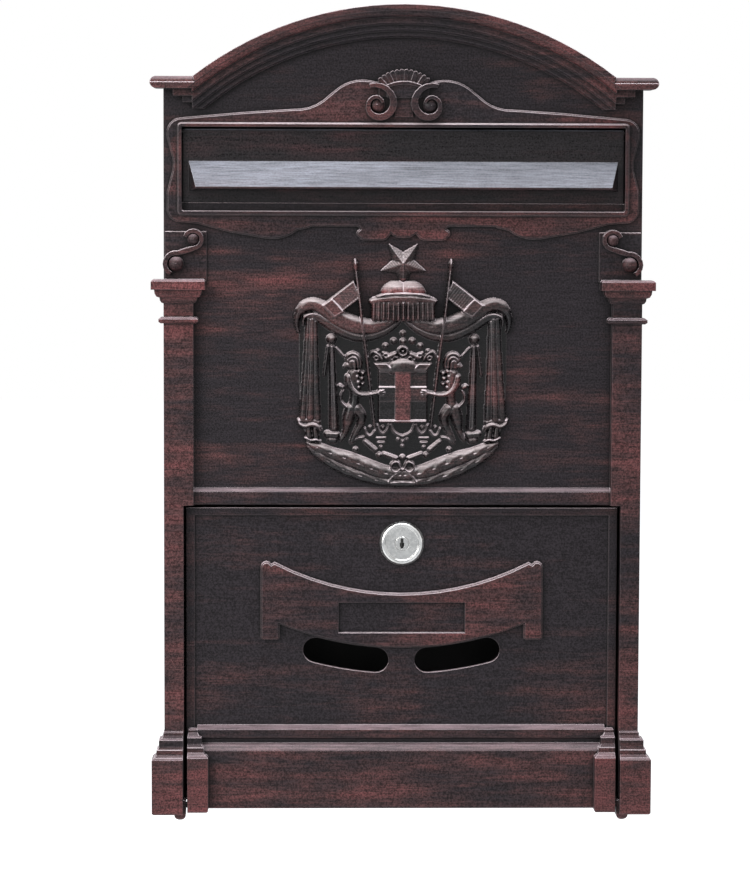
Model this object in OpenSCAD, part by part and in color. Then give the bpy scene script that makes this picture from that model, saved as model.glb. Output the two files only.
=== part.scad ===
// Wall mailbox with a cast front, a top-hung slot flap and a drop-down door.
// Heights are measured up from the underside of the base blocks and depths out from the wall.
// The origin is the centre of the four wall screws on the back, and the front faces along minus Y.

/* [Casting] */
// Width over the base blocks and the cornice ends
front_w = 255; // [250:0.5:262]
// Width over the pilasters
body_w = 242.5; // [241.5:0.5:243.5]
// Height of the flat ends of the cornice
shoulder_h = 374.8; // [373:0.2:378]
// Radius of the arch of the cornice
arch_r = 174; // [172:0.5:177]
// Height of the centre that the arch is struck from
arch_h = 236.8; // [236:0.2:238]
// Distance from the wall to the face of the panel
panel_d = 70; // [66:0.5:90]
// Thickness of the cast panel
panel_t = 3; // [2.5:0.1:3.2]
// Thickness of the rim round the box
rim_t = 2.7; // [2:0.1:2.8]
// How far the rim reaches back over the box
rim_len = 12; // [8:1:20]

/* [Cornice] */
// Forward reach of the round bead
bead_rise = 15; // [13:0.5:16]
// Height of the round bead
bead_h = 6; // [5.6:0.1:6.2]
// Forward reach of the step under the bead
rib_rise = 10.5; // [9:0.5:11.5]
// Height of the step under the bead
rib_h = 3.6; // [3.4:0.1:3.8]

/* [Pilasters] */
// Forward reach of the pilaster shafts
shaft_rise = 6; // [5:0.2:7]
// Width of a shaft above the rail
shaft_w = 15.05; // [14:0.05:15.2]
// Height of the top of the capitals
capital_h = 272.9; // [271:0.1:273]
// Forward reach of the capitals
capital_rise = 12; // [11:0.5:13]
// Forward reach of the base blocks
base_rise = 12; // [11:0.5:13]
// Height of the base blocks
base_h = 29.3; // [28:0.1:30]

/* [Slot] */
// Height of the middle of the slot frame
slot_h = 328.6; // [328:0.1:330]
// Width inside the slot frame
slot_w = 224; // [222:0.5:225]
// Height inside the slot frame
slot_frame_h = 42.3; // [41.5:0.1:42.8]
// Thickness of the raised plaque round the slot
plaque_rise = 3; // [2.6:0.1:3.2]
// Height of the bead round the slot above the plaque
frame_rise = 2.4; // [2:0.1:2.8]
// Width of the bead round the slot
frame_w = 2.1; // [1.8:0.1:2.4]
// Thickness of the flap
flap_t = 2.2; // [2:0.1:2.4]
// Forward reach of the flap's lip
lip_reach = 10.7; // [9:0.1:11]
// Radius of the flap's hinge pins
flap_pin_r = 1; // [0.8:0.05:1.1]

/* [Door] */
// Height of the top edge of the door
door_top = 156.6; // [155:0.1:157]
// Width of the door
door_w = 220; // [218:0.5:221]
// Gap above the door
door_gap = 1.6; // [1.2:0.1:2]
// Thickness of the door's panel
door_t = 2.5; // [2.4:0.1:3]
// Width of the raised border round the door
door_border = 4.1; // [3.6:0.1:4.6]
// Height of the door's hinge pins
door_pin_h = 4; // [3.9:0.1:4.4]
// Distance from the wall to the door's hinge pins
door_pin_d = 74; // [73:0.5:74.5]
// Radius of the door's hinge pins
door_pin_r = 1.5; // [1.2:0.1:1.6]

/* [Box] */
// Thickness of the sheet metal
sheet_t = 1; // [0.8:0.05:1.1]
// Width of the fixing flanges of the sheets
flange_w = 11; // [9:0.5:12]
// Distance between the wall screws, side to side
wall_screw_x = 140; // [120:5:160]
// Distance between the wall screws, up and down
wall_screw_z = 200; // [180:5:220]
// Radius of the wall-screw holes
wall_hole_r = 2.75; // [2:0.25:3.5]
// Height of the centre of the wall screws
mount_h = 210; // [200:5:220]

/* [Lock] */
// Distance from the door's top edge down to the middle of the lock
lock_drop = 18.3; // [17.5:0.1:19.5]
// Radius of the lock's bezel
bezel_r = 11.4; // [11:0.1:12]
// Radius of the lock's barrel
barrel_r = 9.3; // [9:0.05:9.6]
// Distance across the two flats of the barrel
barrel_flats = 16.6; // [16:0.1:17]
// Length of the barrel behind the bezel
barrel_len = 18; // [17:0.5:20]
// Radius of the lock cylinder
plug_r = 6.45; // [6:0.05:6.7]
// Length of the cam from its axis to its tip
cam_len = 26; // [25:0.5:27]

/* [Badge] */
// Height of the badge's middle over the rail
badge_up = 56.6; // [56.2:0.1:58]
// Thickness of the badge's backing
web_t = 1.2; // [0.8:0.1:1.6]
// Radius of the badge's stems
crest_stem_r = 1.5; // [1.2:0.1:1.8]

/* [Fits] */
// Running clearance round pins and cylinders
run_gap = 0.05; // [0.03:0.01:0.08]
// Clearance of pins that are driven home
drive_gap = 0.02; // [0.01:0.01:0.03]
// Clearance between sheets and castings
seat_gap = 0.3; // [0.2:0.05:0.35]

/* [Hidden] */
$fn = 48;

// A short overlap that lets two solids fuse or a cut run clear
eps = 0.01;
over = 1;
half_front = front_w / 2;
half_body = body_w / 2;
panel_back = panel_d - panel_t;

// Cornice: offsets of the ribs inward from the outline, and their forward reach
rib2_in = bead_h + rib_h;
rib3_in = rib2_in + 3.2;
cornice_in = rib3_in + 3;
rib3_rise = rib_rise - 3;
rib4_rise = rib_rise - 6;
arch_half = sqrt(arch_r * arch_r - (shoulder_h - arch_h) * (shoulder_h - arch_h));
rib2_half = half_body - 5.2;
rib3_half = half_body - 10;
rib4_half = arch_half + 0.5;

// Shafts and capitals
shaft_in = half_body - shaft_w;
door_side = door_w / 2 + 1.3;
rail_low = door_top + door_gap;
rail_top = rail_low + 7.2;
rail_rise = 2;
wall_cast = 2.5;

// Slot frame and flap
slot_low = slot_h - slot_frame_h / 2;
slot_top = slot_h + slot_frame_h / 2;
slot_half = slot_w / 2;
sill_h = 4.2;
sill_rise = 1.2;
flap_half = slot_half - 0.8;
flap_back = panel_d + 0.4;
flap_front = flap_back + flap_t;
flap_low = slot_low + sill_h + 0.4;
barrel_flap_r = flap_t - 0.3;
flap_pivot_d = flap_front - barrel_flap_r + 0.1;
flap_pivot_h = slot_top - 0.5 - barrel_flap_r;
ledge_w = 5;
flap_pin_len = 12.6;
flap_pin_in = slot_half - 6;
lip_top = slot_low + 25.1;
lip_nose = slot_low + 12.2;
lip_wall = 1.8;

// Door
door_half = door_w / 2;
door_back = panel_d - 4;
door_field = door_back + door_t;
door_low = 1.9;
block_low = 0.7;
block_half = door_half - 0.5;
block_in = block_half - 10.6;
block_rise = 10;
door_pin_out = half_front - 1.5;
door_pin_in = block_half - 9;
base_in = door_side + 0.4;

// Box
box_in = rim_t + seat_gap;
box_front = panel_back;
wrap_low = 3;
floor_h = 5;
rivet_d = 7;
rivet_hs = [40, 130, 220, 310];
screw_hs = [60, 140, 236];
front_flange_in = door_side + 0.2;
screw_x = half_body - 6.6;
boss_r = 3.4;
pilot_r = 1.3;
screw_r = pilot_r - run_gap;

// Lock
lock_h = door_top - lock_drop;
plug_nose_r = 3.6;
barrel_back = door_field - barrel_len;
cam_t = 2.4;
cam_front = barrel_back - 0.3;
cam_back = cam_front - cam_t;
tail_w = 6;
washer_t = 0.8;
nut_t = 3.5;
strike_back = cam_front + 0.6;

// Turns a front view, drawn as x and height, into a solid that stands forward of a depth
module raised(depth, rise) {
  translate([0, -depth, -mount_h]) rotate([90, 0, 0]) linear_extrude(rise) children();
}

// A side view, drawn as depth and height, run along X between two places
module run_x(x0, x1) {
  translate([x0, 0, -mount_h]) mirror([0, 1, 0]) rotate([90, 0, 90]) linear_extrude(x1 - x0) children();
}

// A plan view, drawn as x and depth, stood up between two heights
module stand_z(h0, h1) {
  translate([0, 0, h0 - mount_h]) mirror([0, 1, 0]) linear_extrude(h1 - h0) children();
}

// A solid of revolution about a line that runs from the front to the wall
module turned(x, h) { translate([x, 0, h - mount_h]) rotate([90, 0, 0]) rotate_extrude() children(); }

// A round bar along X at a depth and a height
module bar_x(x0, x1, depth, h, r) {
  translate([x0, -depth, h - mount_h]) rotate([0, 90, 0]) cylinder(r = r, h = x1 - x0);
}

module both_sides() {
  children();
  mirror([1, 0, 0]) children();
}

module box2(x0, x1, h0, h1) { translate([x0, h0]) square([x1 - x0, h1 - h0]); }

// Points along a round stretch
function arc(cx, cy, r, a0, a1, n) =
  [for (i = [0:n]) let (a = a0 + (a1 - a0) * i / n) [cx + r * cos(a), cy + r * sin(a)]];

// The left half of an outline, from the right half run backwards
function reflected(p) = [for (i = [len(p) - 1:-1:0]) [-p[i][0], p[i][1]]];

function unit(v) = v / norm(v);
function left_normal(a, b) = let (u = unit(b - a)) [-u[1], u[0]];

// An outline without the points that repeat their neighbour
function tidy(p) = [for (i = [0:len(p) - 1]) if (norm(p[i] - p[(i + len(p) - 1) % len(p)]) > 0.05) p[i]];

// An outline drawn in by d, with each side kept parallel
function inset(p, d) = let (n = len(p)) [
  for (i = [0:n - 1])
    let (
      n1 = left_normal(p[(i + n - 1) % n], p[i]),
      n2 = left_normal(p[i], p[(i + 1) % n])
    )
    p[i] + d * (n1 + n2) / (1 + n1 * n2)
];

// A rectangle with round corners, as points
function round_rect(half, h0, h1, r) = concat(
  arc(half - r, h0 + r, r, -90, 0, 3),
  arc(half - r, h1 - r, r, 0, 90, 3),
  arc(-half + r, h1 - r, r, 90, 180, 3),
  arc(-half + r, h0 + r, r, 180, 270, 3)
);

// Front view of the box, drawn in from the casting's edge
module box_view(inward, low) {
  box2(-half_body + inward, half_body - inward, low, shoulder_h - inward);
  intersection() {
    translate([0, arch_h]) circle(r = arch_r - inward, $fn = 96);
    box2(-arch_half, arch_half, shoulder_h - 2 * cornice_in, arch_h + arch_r);
  }
}

// Back sheet with wall holes and forward side flanges
module back_plate() {
  edge = box_in + sheet_t + 0.1;
  color("#2b2a2a") difference() {
    union() {
      raised(0, sheet_t) box_view(edge, floor_h - 1);
      both_sides() raised(0, flange_w)
        box2(half_body - edge - sheet_t, half_body - edge, floor_h + sheet_t + 0.1, shoulder_h - 24);
    }
    for (x = [-1, 1], z = [-1, 1])
      translate([x * wall_screw_x / 2, over, z * wall_screw_z / 2]) rotate([90, 0, 0])
        cylinder(r = wall_hole_r, h = sheet_t + 2 * over);
    rivet_holes();
  }
}

// Sides and arched top folded from one sheet, with a front flange down each side
module side_wrap() {
  color("#232222") difference() {
    union() {
      raised(0, box_front) difference() {
        box_view(box_in, wrap_low);
        box_view(box_in + sheet_t, wrap_low - over);
      }
      both_sides() raised(box_front - sheet_t, sheet_t)
        box2(front_flange_in, half_body - box_in - eps, wrap_low + 8, shoulder_h - 24);
    }
    rivet_holes();
    both_sides() for (h = screw_hs)
      translate([screw_x, -box_front + sheet_t + over, h - mount_h]) rotate([90, 0, 0])
        cylinder(r = screw_r + 0.3, h = sheet_t + 2 * over);
  }
}

// Floor sheet with upturned side flanges
module bottom_plate() {
  edge = box_in + sheet_t + 0.1;
  front = door_back - 1.2;
  color("#2b2a2a") difference() {
    union() {
      raised(sheet_t, front - sheet_t) box2(-half_body + edge, half_body - edge, floor_h, floor_h + sheet_t);
      both_sides() raised(flange_w + 2, front - flange_w - 3)
        box2(half_body - edge - sheet_t, half_body - edge, floor_h, floor_h + flange_w);
    }
    rivet_holes();
  }
}

floor_rivet_ds = [24, 48];
floor_rivet_h = floor_h + 6;
rivet_r = 1.6;

module rivet_places() {
  for (h = rivet_hs) translate([0, -rivet_d, h - mount_h]) children();
  for (d = floor_rivet_ds) translate([0, -d, floor_rivet_h - mount_h]) children();
}

module rivet_holes() {
  both_sides() rivet_places() translate([half_body - 10, 0, 0]) rotate([0, 90, 0])
    cylinder(r = rivet_r + drive_gap, h = 12);
}

// Pop rivets through the sides, with a domed head outside and a plain tail inside
module body_rivets() {
  skin = half_body - box_in;
  inner = skin - 2 * sheet_t - 0.1;
  color("#3a3838") both_sides() rivet_places() rotate([0, 90, 0]) {
    translate([0, 0, inner - 1.2]) cylinder(r = 2.2, h = 1.2);
    translate([0, 0, inner - eps]) cylinder(r = rivet_r, h = skin - inner + 2 * eps);
    translate([0, 0, skin]) intersection() {
      cylinder(r = 3, h = 0.3);
      cylinder(r1 = 3, r2 = 2.6, h = 0.3);
    }
  }
}

// Cornice: a block cut back by its profile, once round the arch and once along the ends.
// The profile is drawn as distance in from the outline, and reach forward of the panel.
rib_edge = 0.9;

module bead_half_cut(from, to) {
  difference() {
    translate([from, bead_rise - bead_h / 2]) square([to - from, bead_h / 2 + over]);
    translate([bead_h / 2, bead_rise - bead_h / 2]) circle(r = bead_h / 2);
  }
}

// The falling part of the profile: the bead's inner half and three ribs with worn corners
module cornice_inner_cut(reach) {
  bead_half_cut(bead_h / 2, bead_h);
  translate([bead_h, rib_rise]) square([reach, bead_rise + over - rib_rise]);
  ribs = [[rib2_in, rib_rise, rib3_rise], [rib3_in, rib3_rise, rib4_rise], [cornice_in, rib4_rise, -over]];
  for (rib = ribs) polygon([
    [rib[0] - rib_edge, rib[1] + eps], [rib[0], rib[1] - rib_edge], [rib[0], rib[2]],
    [rib[0] + reach, rib[2]], [rib[0] + reach, rib[1] + eps]
  ]);
}

// The arch and the straight ends of the bead meet on a mitre through their kink
kink = [arch_half, shoulder_h];
mitre_reach = 60;
mitre = mitre_reach * unit(unit([arch_half, shoulder_h - arch_h]) + [0, 1]);

module arch_side() {
  polygon(concat([kink - mitre, kink + mitre], reflected([kink - mitre, kink + mitre])));
}

module end_side() {
  far = front_w;
  both_sides() polygon([kink - mitre, [far, kink[1] - mitre[1]], [far, kink[1] + mitre[1]], kink + mitre]);
}

module round_the_arch() {
  translate([0, -panel_d, arch_h - mount_h]) rotate([90, 0, 0]) rotate_extrude($fn = 96) intersection() {
    translate([arch_r, 0]) mirror([1, 0]) children();
    translate([0, -eps / 2]) square([arch_r + over, bead_rise + 3 * over]);
  }
}

module along_the_ends() {
  translate([-front_w, -panel_d, shoulder_h - mount_h]) rotate([90, 0, 0]) rotate([90, 0, 90])
    linear_extrude(2 * front_w) intersection() {
      mirror([1, 0]) children();
      translate([-cornice_in - over, -eps / 2]) square([cornice_in + 2 * over, bead_rise + 3 * over]);
    }
}

module cornice() {
  block = bead_rise + over / 2;
  difference() {
    union() {
      raised(panel_d - eps, block) intersection() {
        translate([0, arch_h]) circle(r = arch_r, $fn = 96);
        box2(-rib4_half, rib4_half, shoulder_h - cornice_in, arch_h + arch_r);
      }
      raised(panel_back, block + panel_t) {
        box2(-half_front + bead_h / 2, half_front - bead_h / 2, shoulder_h - bead_h, shoulder_h);
        for (x = [-1, 1])
          translate([x * (half_front - bead_h / 2), shoulder_h - bead_h / 2]) circle(r = bead_h / 2);
      }
      raised(panel_d - eps, rib_rise) box2(-rib2_half, rib2_half, shoulder_h - rib2_in, shoulder_h);
      raised(panel_d - eps, rib3_rise) box2(-rib3_half, rib3_half, shoulder_h - rib3_in, shoulder_h);
      raised(panel_d - eps, rib4_rise) box2(-rib4_half, rib4_half, shoulder_h - cornice_in, shoulder_h);
    }
    intersection() {
      round_the_arch() bead_half_cut(-over, bead_h / 2);
      raised(panel_d, bead_rise + 3 * over) arch_side();
    }
    intersection() {
      along_the_ends() bead_half_cut(-over, bead_h / 2);
      raised(panel_d, bead_rise + 3 * over) end_side();
    }
    round_the_arch() cornice_inner_cut(arch_r);
    along_the_ends() cornice_inner_cut(60);
  }
}

// Right half of the plaque's outline, from the bottom centre round to the top centre
plaque_half = half_body - 1.65;
plaque_foot = slot_low - 14.6;
plaque_ledge = slot_low - 7.5;
plaque_right = concat(
  [[0, plaque_foot + 1.3], [3.4, plaque_foot + 1.6], [5.2, plaque_foot + 2.6], [6.2, plaque_foot + 3.4]],
  [[7.3, plaque_foot + 2.2], [8.6, plaque_foot + 0.7], [10.4, plaque_foot], [20.2, plaque_foot]],
  [[21.5, plaque_foot + 0.5], [22.2, plaque_foot + 1.6], [23.4, plaque_foot + 2.4]],
  [[23.7, plaque_foot + 3.6], [23.2, plaque_foot + 4.8], [22, plaque_foot + 5.6], [22.6, plaque_ledge - 0.4], [24, plaque_ledge]],
  arc(46, slot_low - 10.2, 2.7, 90, 45, 2),
  arc(66.4, slot_low + 6.8, 20.8, -128, -82, 5),
  [[88, slot_low - 10.6], [104, slot_low - 6.4]],
  arc(112.6, slot_low + 1.2, 7, -72, -8, 4),
  arc(plaque_half - 3.6, slot_low + 8.5, 3.6, -20, 20, 2),
  arc(plaque_half + 12.5, slot_low + 23.5, 15.8, 200, 160, 5),
  arc(plaque_half - 3.6, slot_low + 38, 3.6, -20, 5, 2),
  arc(plaque_half - 7.5, slot_top - 3, 7.5, 10, 84, 5),
  [[80, slot_top + 7.4]],
  arc(54, slot_top + 31, 22, -87, -126, 4),
  arc(20.6, slot_top + 2.4, 21.4, 54, 108, 6)
);
plaque_pts = concat(plaque_right, reflected(plaque_right));

volute_x = 13.7;
volute_h = slot_top + 11.2;
volute_turn = [[70, 11.2], [90, 11], [180, 10.2], [270, 7.7], [360, 5.3], [450, 4.8], [520, 3.9]];
volute_inner = [[70, 9.4], [90, 8.8], [180, 6.6], [270, 4.4], [360, 3.3], [450, 3.1], [520, 2.6]];
volute_step = 18;
fan_r = 19.6;
fan_flutes = 12;
fan_spread = 87;

// A spiral band between two tables of radius by angle
module volute_band() {
  polygon(concat(
    [for (a = [70:volute_step:520]) lookup(a, volute_turn) * [cos(a), sin(a)]],
    [for (a = [520:-volute_step:70]) lookup(a, volute_inner) * [cos(a), sin(a)]]
  ));
}

// Pair of volutes under a fluted fan, at the head of the plaque
module pediment() {
  fan_h = volute_h - 1.6;
  arch_centre = volute_h - 8.5;
  step = fan_spread / fan_flutes;
  for (i = [0:fan_flutes - 1]) let (a = 90 - fan_spread / 2 + (i + 0.5) * step)
    raised(panel_d - eps, i % 2 == 0 ? 4.6 : 5) translate([0, fan_h]) rotate(a)
      polygon([
        [10, -1.05], [fan_r - 0.6, -1.05], [fan_r, -0.4],
        [fan_r, 0.4], [fan_r - 0.6, 1.05], [10, 1.05]
      ]);
  raised(panel_d - eps, 4) intersection() {
    translate([0, fan_h]) circle(r = fan_r - 0.8);
    box2(-12.6, 12.6, volute_h + 4, volute_h + 20);
  }
  raised(panel_d - eps, 6.4) intersection() {
    translate([0, arch_centre]) difference() {
      circle(r = 20.4);
      circle(r = 18.8);
    }
    box2(-9.8, 9.8, volute_h + 6, volute_h + 20);
  }
  raised(panel_d - eps, 5.6) intersection() {
    translate([0, arch_centre]) circle(r = 19);
    box2(-8.6, 8.6, volute_h + 3.6, volute_h + 20);
  }
  raised(panel_d - eps, 4.4) box2(-4.6, 4.6, volute_h - 6, volute_h + 3.8);
  both_sides() {
    raised(panel_d - eps, 7.2) translate([volute_x, volute_h]) volute_band();
    turned(volute_x, volute_h) translate([0, panel_d - eps]) {
      square([4, 5]);
      intersection() {
        translate([0, 1]) circle(r = 5.6);
        translate([0, 4.9]) square([4, 3]);
      }
    }
  }
}

// Heights of the worn top step of the plaque and of the bead
plaque_step = 0.7;
frame_step = 0.5;
frame_corner = 2;

// A raised field that starts just under its seat, less the height of its last step
module stepped(depth, rise, less = 0) { raised(depth - eps, rise - less + eps) children(); }

// Raised plaque and bead round the slot
module slot_plaque() {
  stepped(panel_d, plaque_rise, plaque_step) polygon(plaque_pts);
  stepped(panel_d, plaque_rise) polygon(inset(tidy(plaque_pts), plaque_step));
  bead = round_rect(slot_half + frame_w, slot_low - frame_w, slot_top + frame_w, frame_corner);
  stepped(panel_d + plaque_rise, frame_rise, frame_step) polygon(bead);
  stepped(panel_d + plaque_rise, frame_rise) polygon(inset(tidy(bead), frame_step));
}

module slot_cut() {
  raised(panel_d + sill_rise, 20) polygon(round_rect(slot_half, slot_low, slot_top, 0.9));
  raised(panel_d, 20) box2(-slot_half, slot_half, slot_low + sill_h, slot_top);
  raised(panel_back - over, 20)
    box2(-slot_half + ledge_w, slot_half - ledge_w, slot_low + sill_h + 2.4, slot_top);
  raised(panel_back - over, 20) box2(-slot_half, slot_half, slot_top - 6.5, slot_top);
}

// One mitred block of mouldings: the front view and the side view cut each other
module mitred(front_pts, side_pts, x0, x1) {
  intersection() {
    raised(panel_back, 40) polygon(front_pts);
    run_x(x0, x1) polygon(side_pts);
  }
}

// Quarter round that swells outward between two heights
function ovolo(x, h, w, rise, n) =
  [for (i = [0:n]) let (a = 90 * i / n) [x + w * sin(a), h + rise * (1 - cos(a))]];

// Profile of the capital: how far it stands out from the shaft at each height
function capital_steps() = let (h = capital_h) concat(
  [[0, h - 60], [0, h - 22.1]],
  [[1.4, h - 22.1], [2.5, h - 21.3], [2.5, h - 19.9], [1.4, h - 19.1], [0, h - 19.1]],
  [[0, h - 12.1]],
  ovolo(0, h - 12.1, 2, 3.1, 3),
  ovolo(2.4, h - 9, 2.2, 4, 3),
  [[6.2, h - 5], [6.2, h - 0.8], [5.4, h]]
);

module capital() {
  outer = capital_steps();
  front_pts = concat(
    [for (p = outer) [half_body - 0.1 + p[0], p[1]]],
    [for (i = [len(outer) - 1:-1:0]) [shaft_in - outer[i][0] * 0.97, outer[i][1]]]
  );
  side_pts = concat(
    [for (p = outer) [panel_d + shaft_rise + p[0] * (capital_rise - shaft_rise) / 6.2, p[1]]],
    [[panel_back, capital_h], [panel_back, capital_h - 60]]
  );
  mitred(front_pts, side_pts, shaft_in - 8, half_front + 2);
}

// Profile of the stepped top of a base block, as offsets from its foot
function base_steps(low, high) = [
  [0.8, low], [0, low + 0.8], [0, high - 1], [1, high], [1.4, high], [2.4, high + 1.4],
  [2.4, high + 3.9], [2.9, high + 3.9], [3.6, high + 5.6], [3.6, high + 8.8], [5, high + 9.4],
  [5.8, high + 11], [5.8, high + 12.3], [6.4, high + 13]
];

module base_block() {
  steps = base_steps(0, base_h);
  last = len(steps) - 1;
  front_pts = concat(
    [for (p = steps) [half_front - p[0], p[1]]],
    [[base_in, steps[last][1]], [base_in, 0]]
  );
  side_pts = concat(
    [for (p = steps) [panel_d + base_rise - p[0] * (base_rise - shaft_rise) / 6.4, p[1]]],
    [[panel_back, steps[last][1]], [panel_back, 0]]
  );
  mitred(front_pts, side_pts, base_in - 1, half_front + 2);
}

// Scroll console that stands on a capital
console_x = half_body - 15.05;
console_h = capital_h + 20.2;

// A ribbon of varying width along a path: each point is x, height and half width
function ribbon_side(path, s) = [
  for (i = [0:len(path) - 1])
    let (
      a = path[max(i - 1, 0)],
      b = path[min(i + 1, len(path) - 1)],
      n = left_normal([a[0], a[1]], [b[0], b[1]])
    )
    [path[i][0] + s * path[i][2] * n[0], path[i][1] + s * path[i][2] * n[1]]
];
module ribbon(path) {
  side = ribbon_side(path, 1);
  polygon(concat(ribbon_side(path, -1), [for (i = [len(side) - 1:-1:0]) side[i]]));
}

module console() {
  eye_h = capital_h + 7.8;
  eye_x = half_body - 6.35;
  raised(panel_d - eps, 1.3) box2(shaft_in - 6.6, half_body - 0.6, capital_h - 1, capital_h + 24.1);
  raised(panel_d - eps, 4.8) ribbon(concat(
    [for (a = [20:23:250]) [console_x + 4.3 * cos(a), console_h + 4.3 * sin(a), 1]],
    [[console_x + 3.4, capital_h + 14.6, 1.3]],
    [for (a = [100:-20:-60]) [eye_x + 5.6 * cos(a), eye_h + 5.6 * sin(a), 1.1]]
  ));
  turned(console_x, console_h) translate([0, panel_d - eps]) dome(2.8, 4.4);
  turned(eye_x, eye_h) translate([0, panel_d - eps]) dome(3.7, 4.4);
}

// Half of a domed boss, to be turned: radius and straight height
module dome(r, straight) {
  square([r, straight]);
  intersection() {
    translate([0, straight - r * 0.35]) circle(r = r * 1.06);
    square([r, straight + r]);
  }
}

// Pocket behind a pilaster that leaves an even wall
module shaft_pocket(h0, h1, x0, x1, rise) {
  raised(panel_back - over, rise + panel_t - wall_cast + over) box2(x0 + wall_cast, x1 - wall_cast, h0, h1);
}

module screw_boss(h) {
  translate([screw_x, -panel_back, h - mount_h]) rotate([90, 0, 0])
    cylinder(r = boss_r, h = shaft_rise + panel_t - wall_cast + 0.5);
}

// Strike ledge that the cam turns up behind
module strike() {
  raised(strike_back, panel_back - strike_back + eps) box2(-18, 18, rail_low + 1.6, rail_low + 4.6);
  both_sides() run_x(13, 16) polygon([
    [panel_back + eps, rail_low + 4.5], [panel_back + eps, rail_low + 14], [strike_back + 2, rail_low + 4.5]
  ]);
}

// Domed hinge lug under a base block's inner corner
lug_w = 5.8;
module hinge_lug() {
  x0 = door_half + 0.3;
  intersection() {
    raised(door_pin_d - 4.4, 8.8) {
      translate([x0 + lug_w / 2, -0.6]) circle(r = lug_w / 2);
      box2(x0, x0 + lug_w, -0.6, door_pin_h + 3);
    }
    run_x(x0 - 1, x0 + lug_w + 1) {
      translate([door_pin_d, 0.6]) circle(r = 4.4);
      box2(door_pin_d - 4.4, door_pin_d + 4.4, 0.6, door_pin_h + 3);
    }
  }
}

module rail() {
  run_x(-shaft_in - 6, shaft_in + 6) polygon([
    [panel_back, rail_low], [panel_d + rail_rise - 0.6, rail_low], [panel_d + rail_rise, rail_low + 0.6],
    [panel_d + rail_rise, rail_top - 0.5], [panel_d + rail_rise - 0.4, rail_top],
    [panel_d + 0.5, rail_top + 0.9], [panel_d, rail_top + 1.6], [panel_back, rail_top + 1.6]
  ]);
}

module front_casting() {
  color("#2a2224") difference() {
    union() {
      difference() {
        raised(panel_back, panel_t) box_view(0, 0);
        raised(panel_back - over, panel_t + 2 * over)
          box2(-door_side, door_side, -over, rail_low);
      }
      raised(panel_back - rim_len, rim_len + eps) difference() {
        box_view(0, 0);
        box_view(rim_t, -over);
      }
      cornice();
      slot_plaque();
      pediment();
      rail();
      strike();
      both_sides() {
        raised(panel_d - eps, shaft_rise) box2(shaft_in, half_body - 0.1, rail_low, capital_h - 30);
        raised(panel_d - eps, shaft_rise) box2(door_side, half_body - 0.1, 0, rail_low + eps);
        capital();
        base_block();
        console();
        hinge_lug();
      }
    }
    slot_cut();
    both_sides() {
      difference() {
        union() {
          shaft_pocket(rail_low + 4, capital_h - 24, shaft_in, half_body, shaft_rise);
          shaft_pocket(base_h + 16, rail_low + 5, door_side, half_body, shaft_rise);
        }
        for (h = screw_hs) screw_boss(h);
      }
      for (h = screw_hs)
        translate([screw_x, -panel_back + eps, h - mount_h]) rotate([90, 0, 0])
          cylinder(r = pilot_r, h = shaft_rise + panel_t - wall_cast);
      bar_x(block_half, half_front + over, door_pin_d, door_pin_h, door_pin_r + drive_gap);
      bar_x(slot_half - over, plaque_half + 0.3, flap_pivot_d, flap_pivot_h, flap_pin_r + drive_gap);
    }
    crest_stems(crest_stem_r + seat_gap);
  }
}

module front_screws() {
  head_t = 1.8;
  thread = 6;
  color("#8a8a88") both_sides() for (h = screw_hs)
    translate([screw_x, -(panel_back - sheet_t - head_t), h - mount_h]) rotate([90, 0, 0]) difference() {
      union() {
        cylinder(r = 2.5, h = head_t);
        cylinder(r = screw_r, h = head_t + sheet_t + thread);
      }
      for (a = [0, 90]) rotate(a) translate([-1.4, -0.3, -over]) cube([2.8, 0.6, over + 0.9]);
    }
}

// Badge: everything on it is drawn about its own middle, as x, height, half width and rise
crest_h = rail_top + badge_up;
crest_stem_places = [[-40, 21], [40, 21], [-31, -26], [31, -26]];

stem_out = 3.2;

module crest_stems(r) {
  for (p = crest_stem_places) translate([p[0], -panel_back + stem_out, crest_h + p[1] - mount_h])
    rotate([90, 0, 0]) cylinder(r = r, h = panel_t + stem_out + eps);
}

// One end of a limb: a low cone, with fewer sides where it is thin
thin_limb = 0.9;
module knoll(p) {
  thin = p[2] <= thin_limb;
  top = thin ? 0.5 : 0.56;
  translate([p[0], p[1], 0]) cylinder(r1 = p[2], r2 = p[2] * top, h = p[3], $fn = thin ? 4 : 6);
}

// A rounded limb that runs from place to place
module limbs(path) {
  if (len(path) == 1) knoll(path[0]);
  if (len(path) > 1) for (i = [0:len(path) - 2]) hull() {
    knoll(path[i]);
    knoll(path[i + 1]);
  }
}

// A flat sheet held by its corners
module pane(corners) { hull() for (p = corners) knoll(p); }

// Half of the draped mantle: the hook at its end, the roll and the fold under it
module badge_mantle() {
  limbs([[-52.9, 34.9, 2.1, 4.6], [-53.6, 30.3, 1.6, 3.8], [-52.9, 25.2, 1.2, 2.6]]);
  limbs([
    [-52.4, 35.9, 2.3, 4.6], [-47.9, 38.7, 2.6, 5.4], [-42.3, 37.7, 3, 6], [-35.7, 33.9, 3.8, 6.4],
    [-29.1, 30.1, 4.3, 6.6], [-23.1, 27.8, 4.1, 6.6], [-16.5, 27, 3.4, 6], [-9.4, 27.8, 2.3, 5],
    [-3.3, 30.1, 1.1, 3.6]
  ]);
  limbs([
    [-49.4, 31.4, 1.5, 3], [-41.3, 29.1, 1.8, 3.6], [-35.2, 25.8, 1.9, 4], [-29.1, 22.4, 1.8, 4.2],
    [-23.1, 20.9, 1.7, 4.2], [-16.5, 21.2, 1.6, 4], [-9.4, 23.7, 1.5, 3.6], [-2.3, 27.8, 1, 3]
  ]);
}

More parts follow.
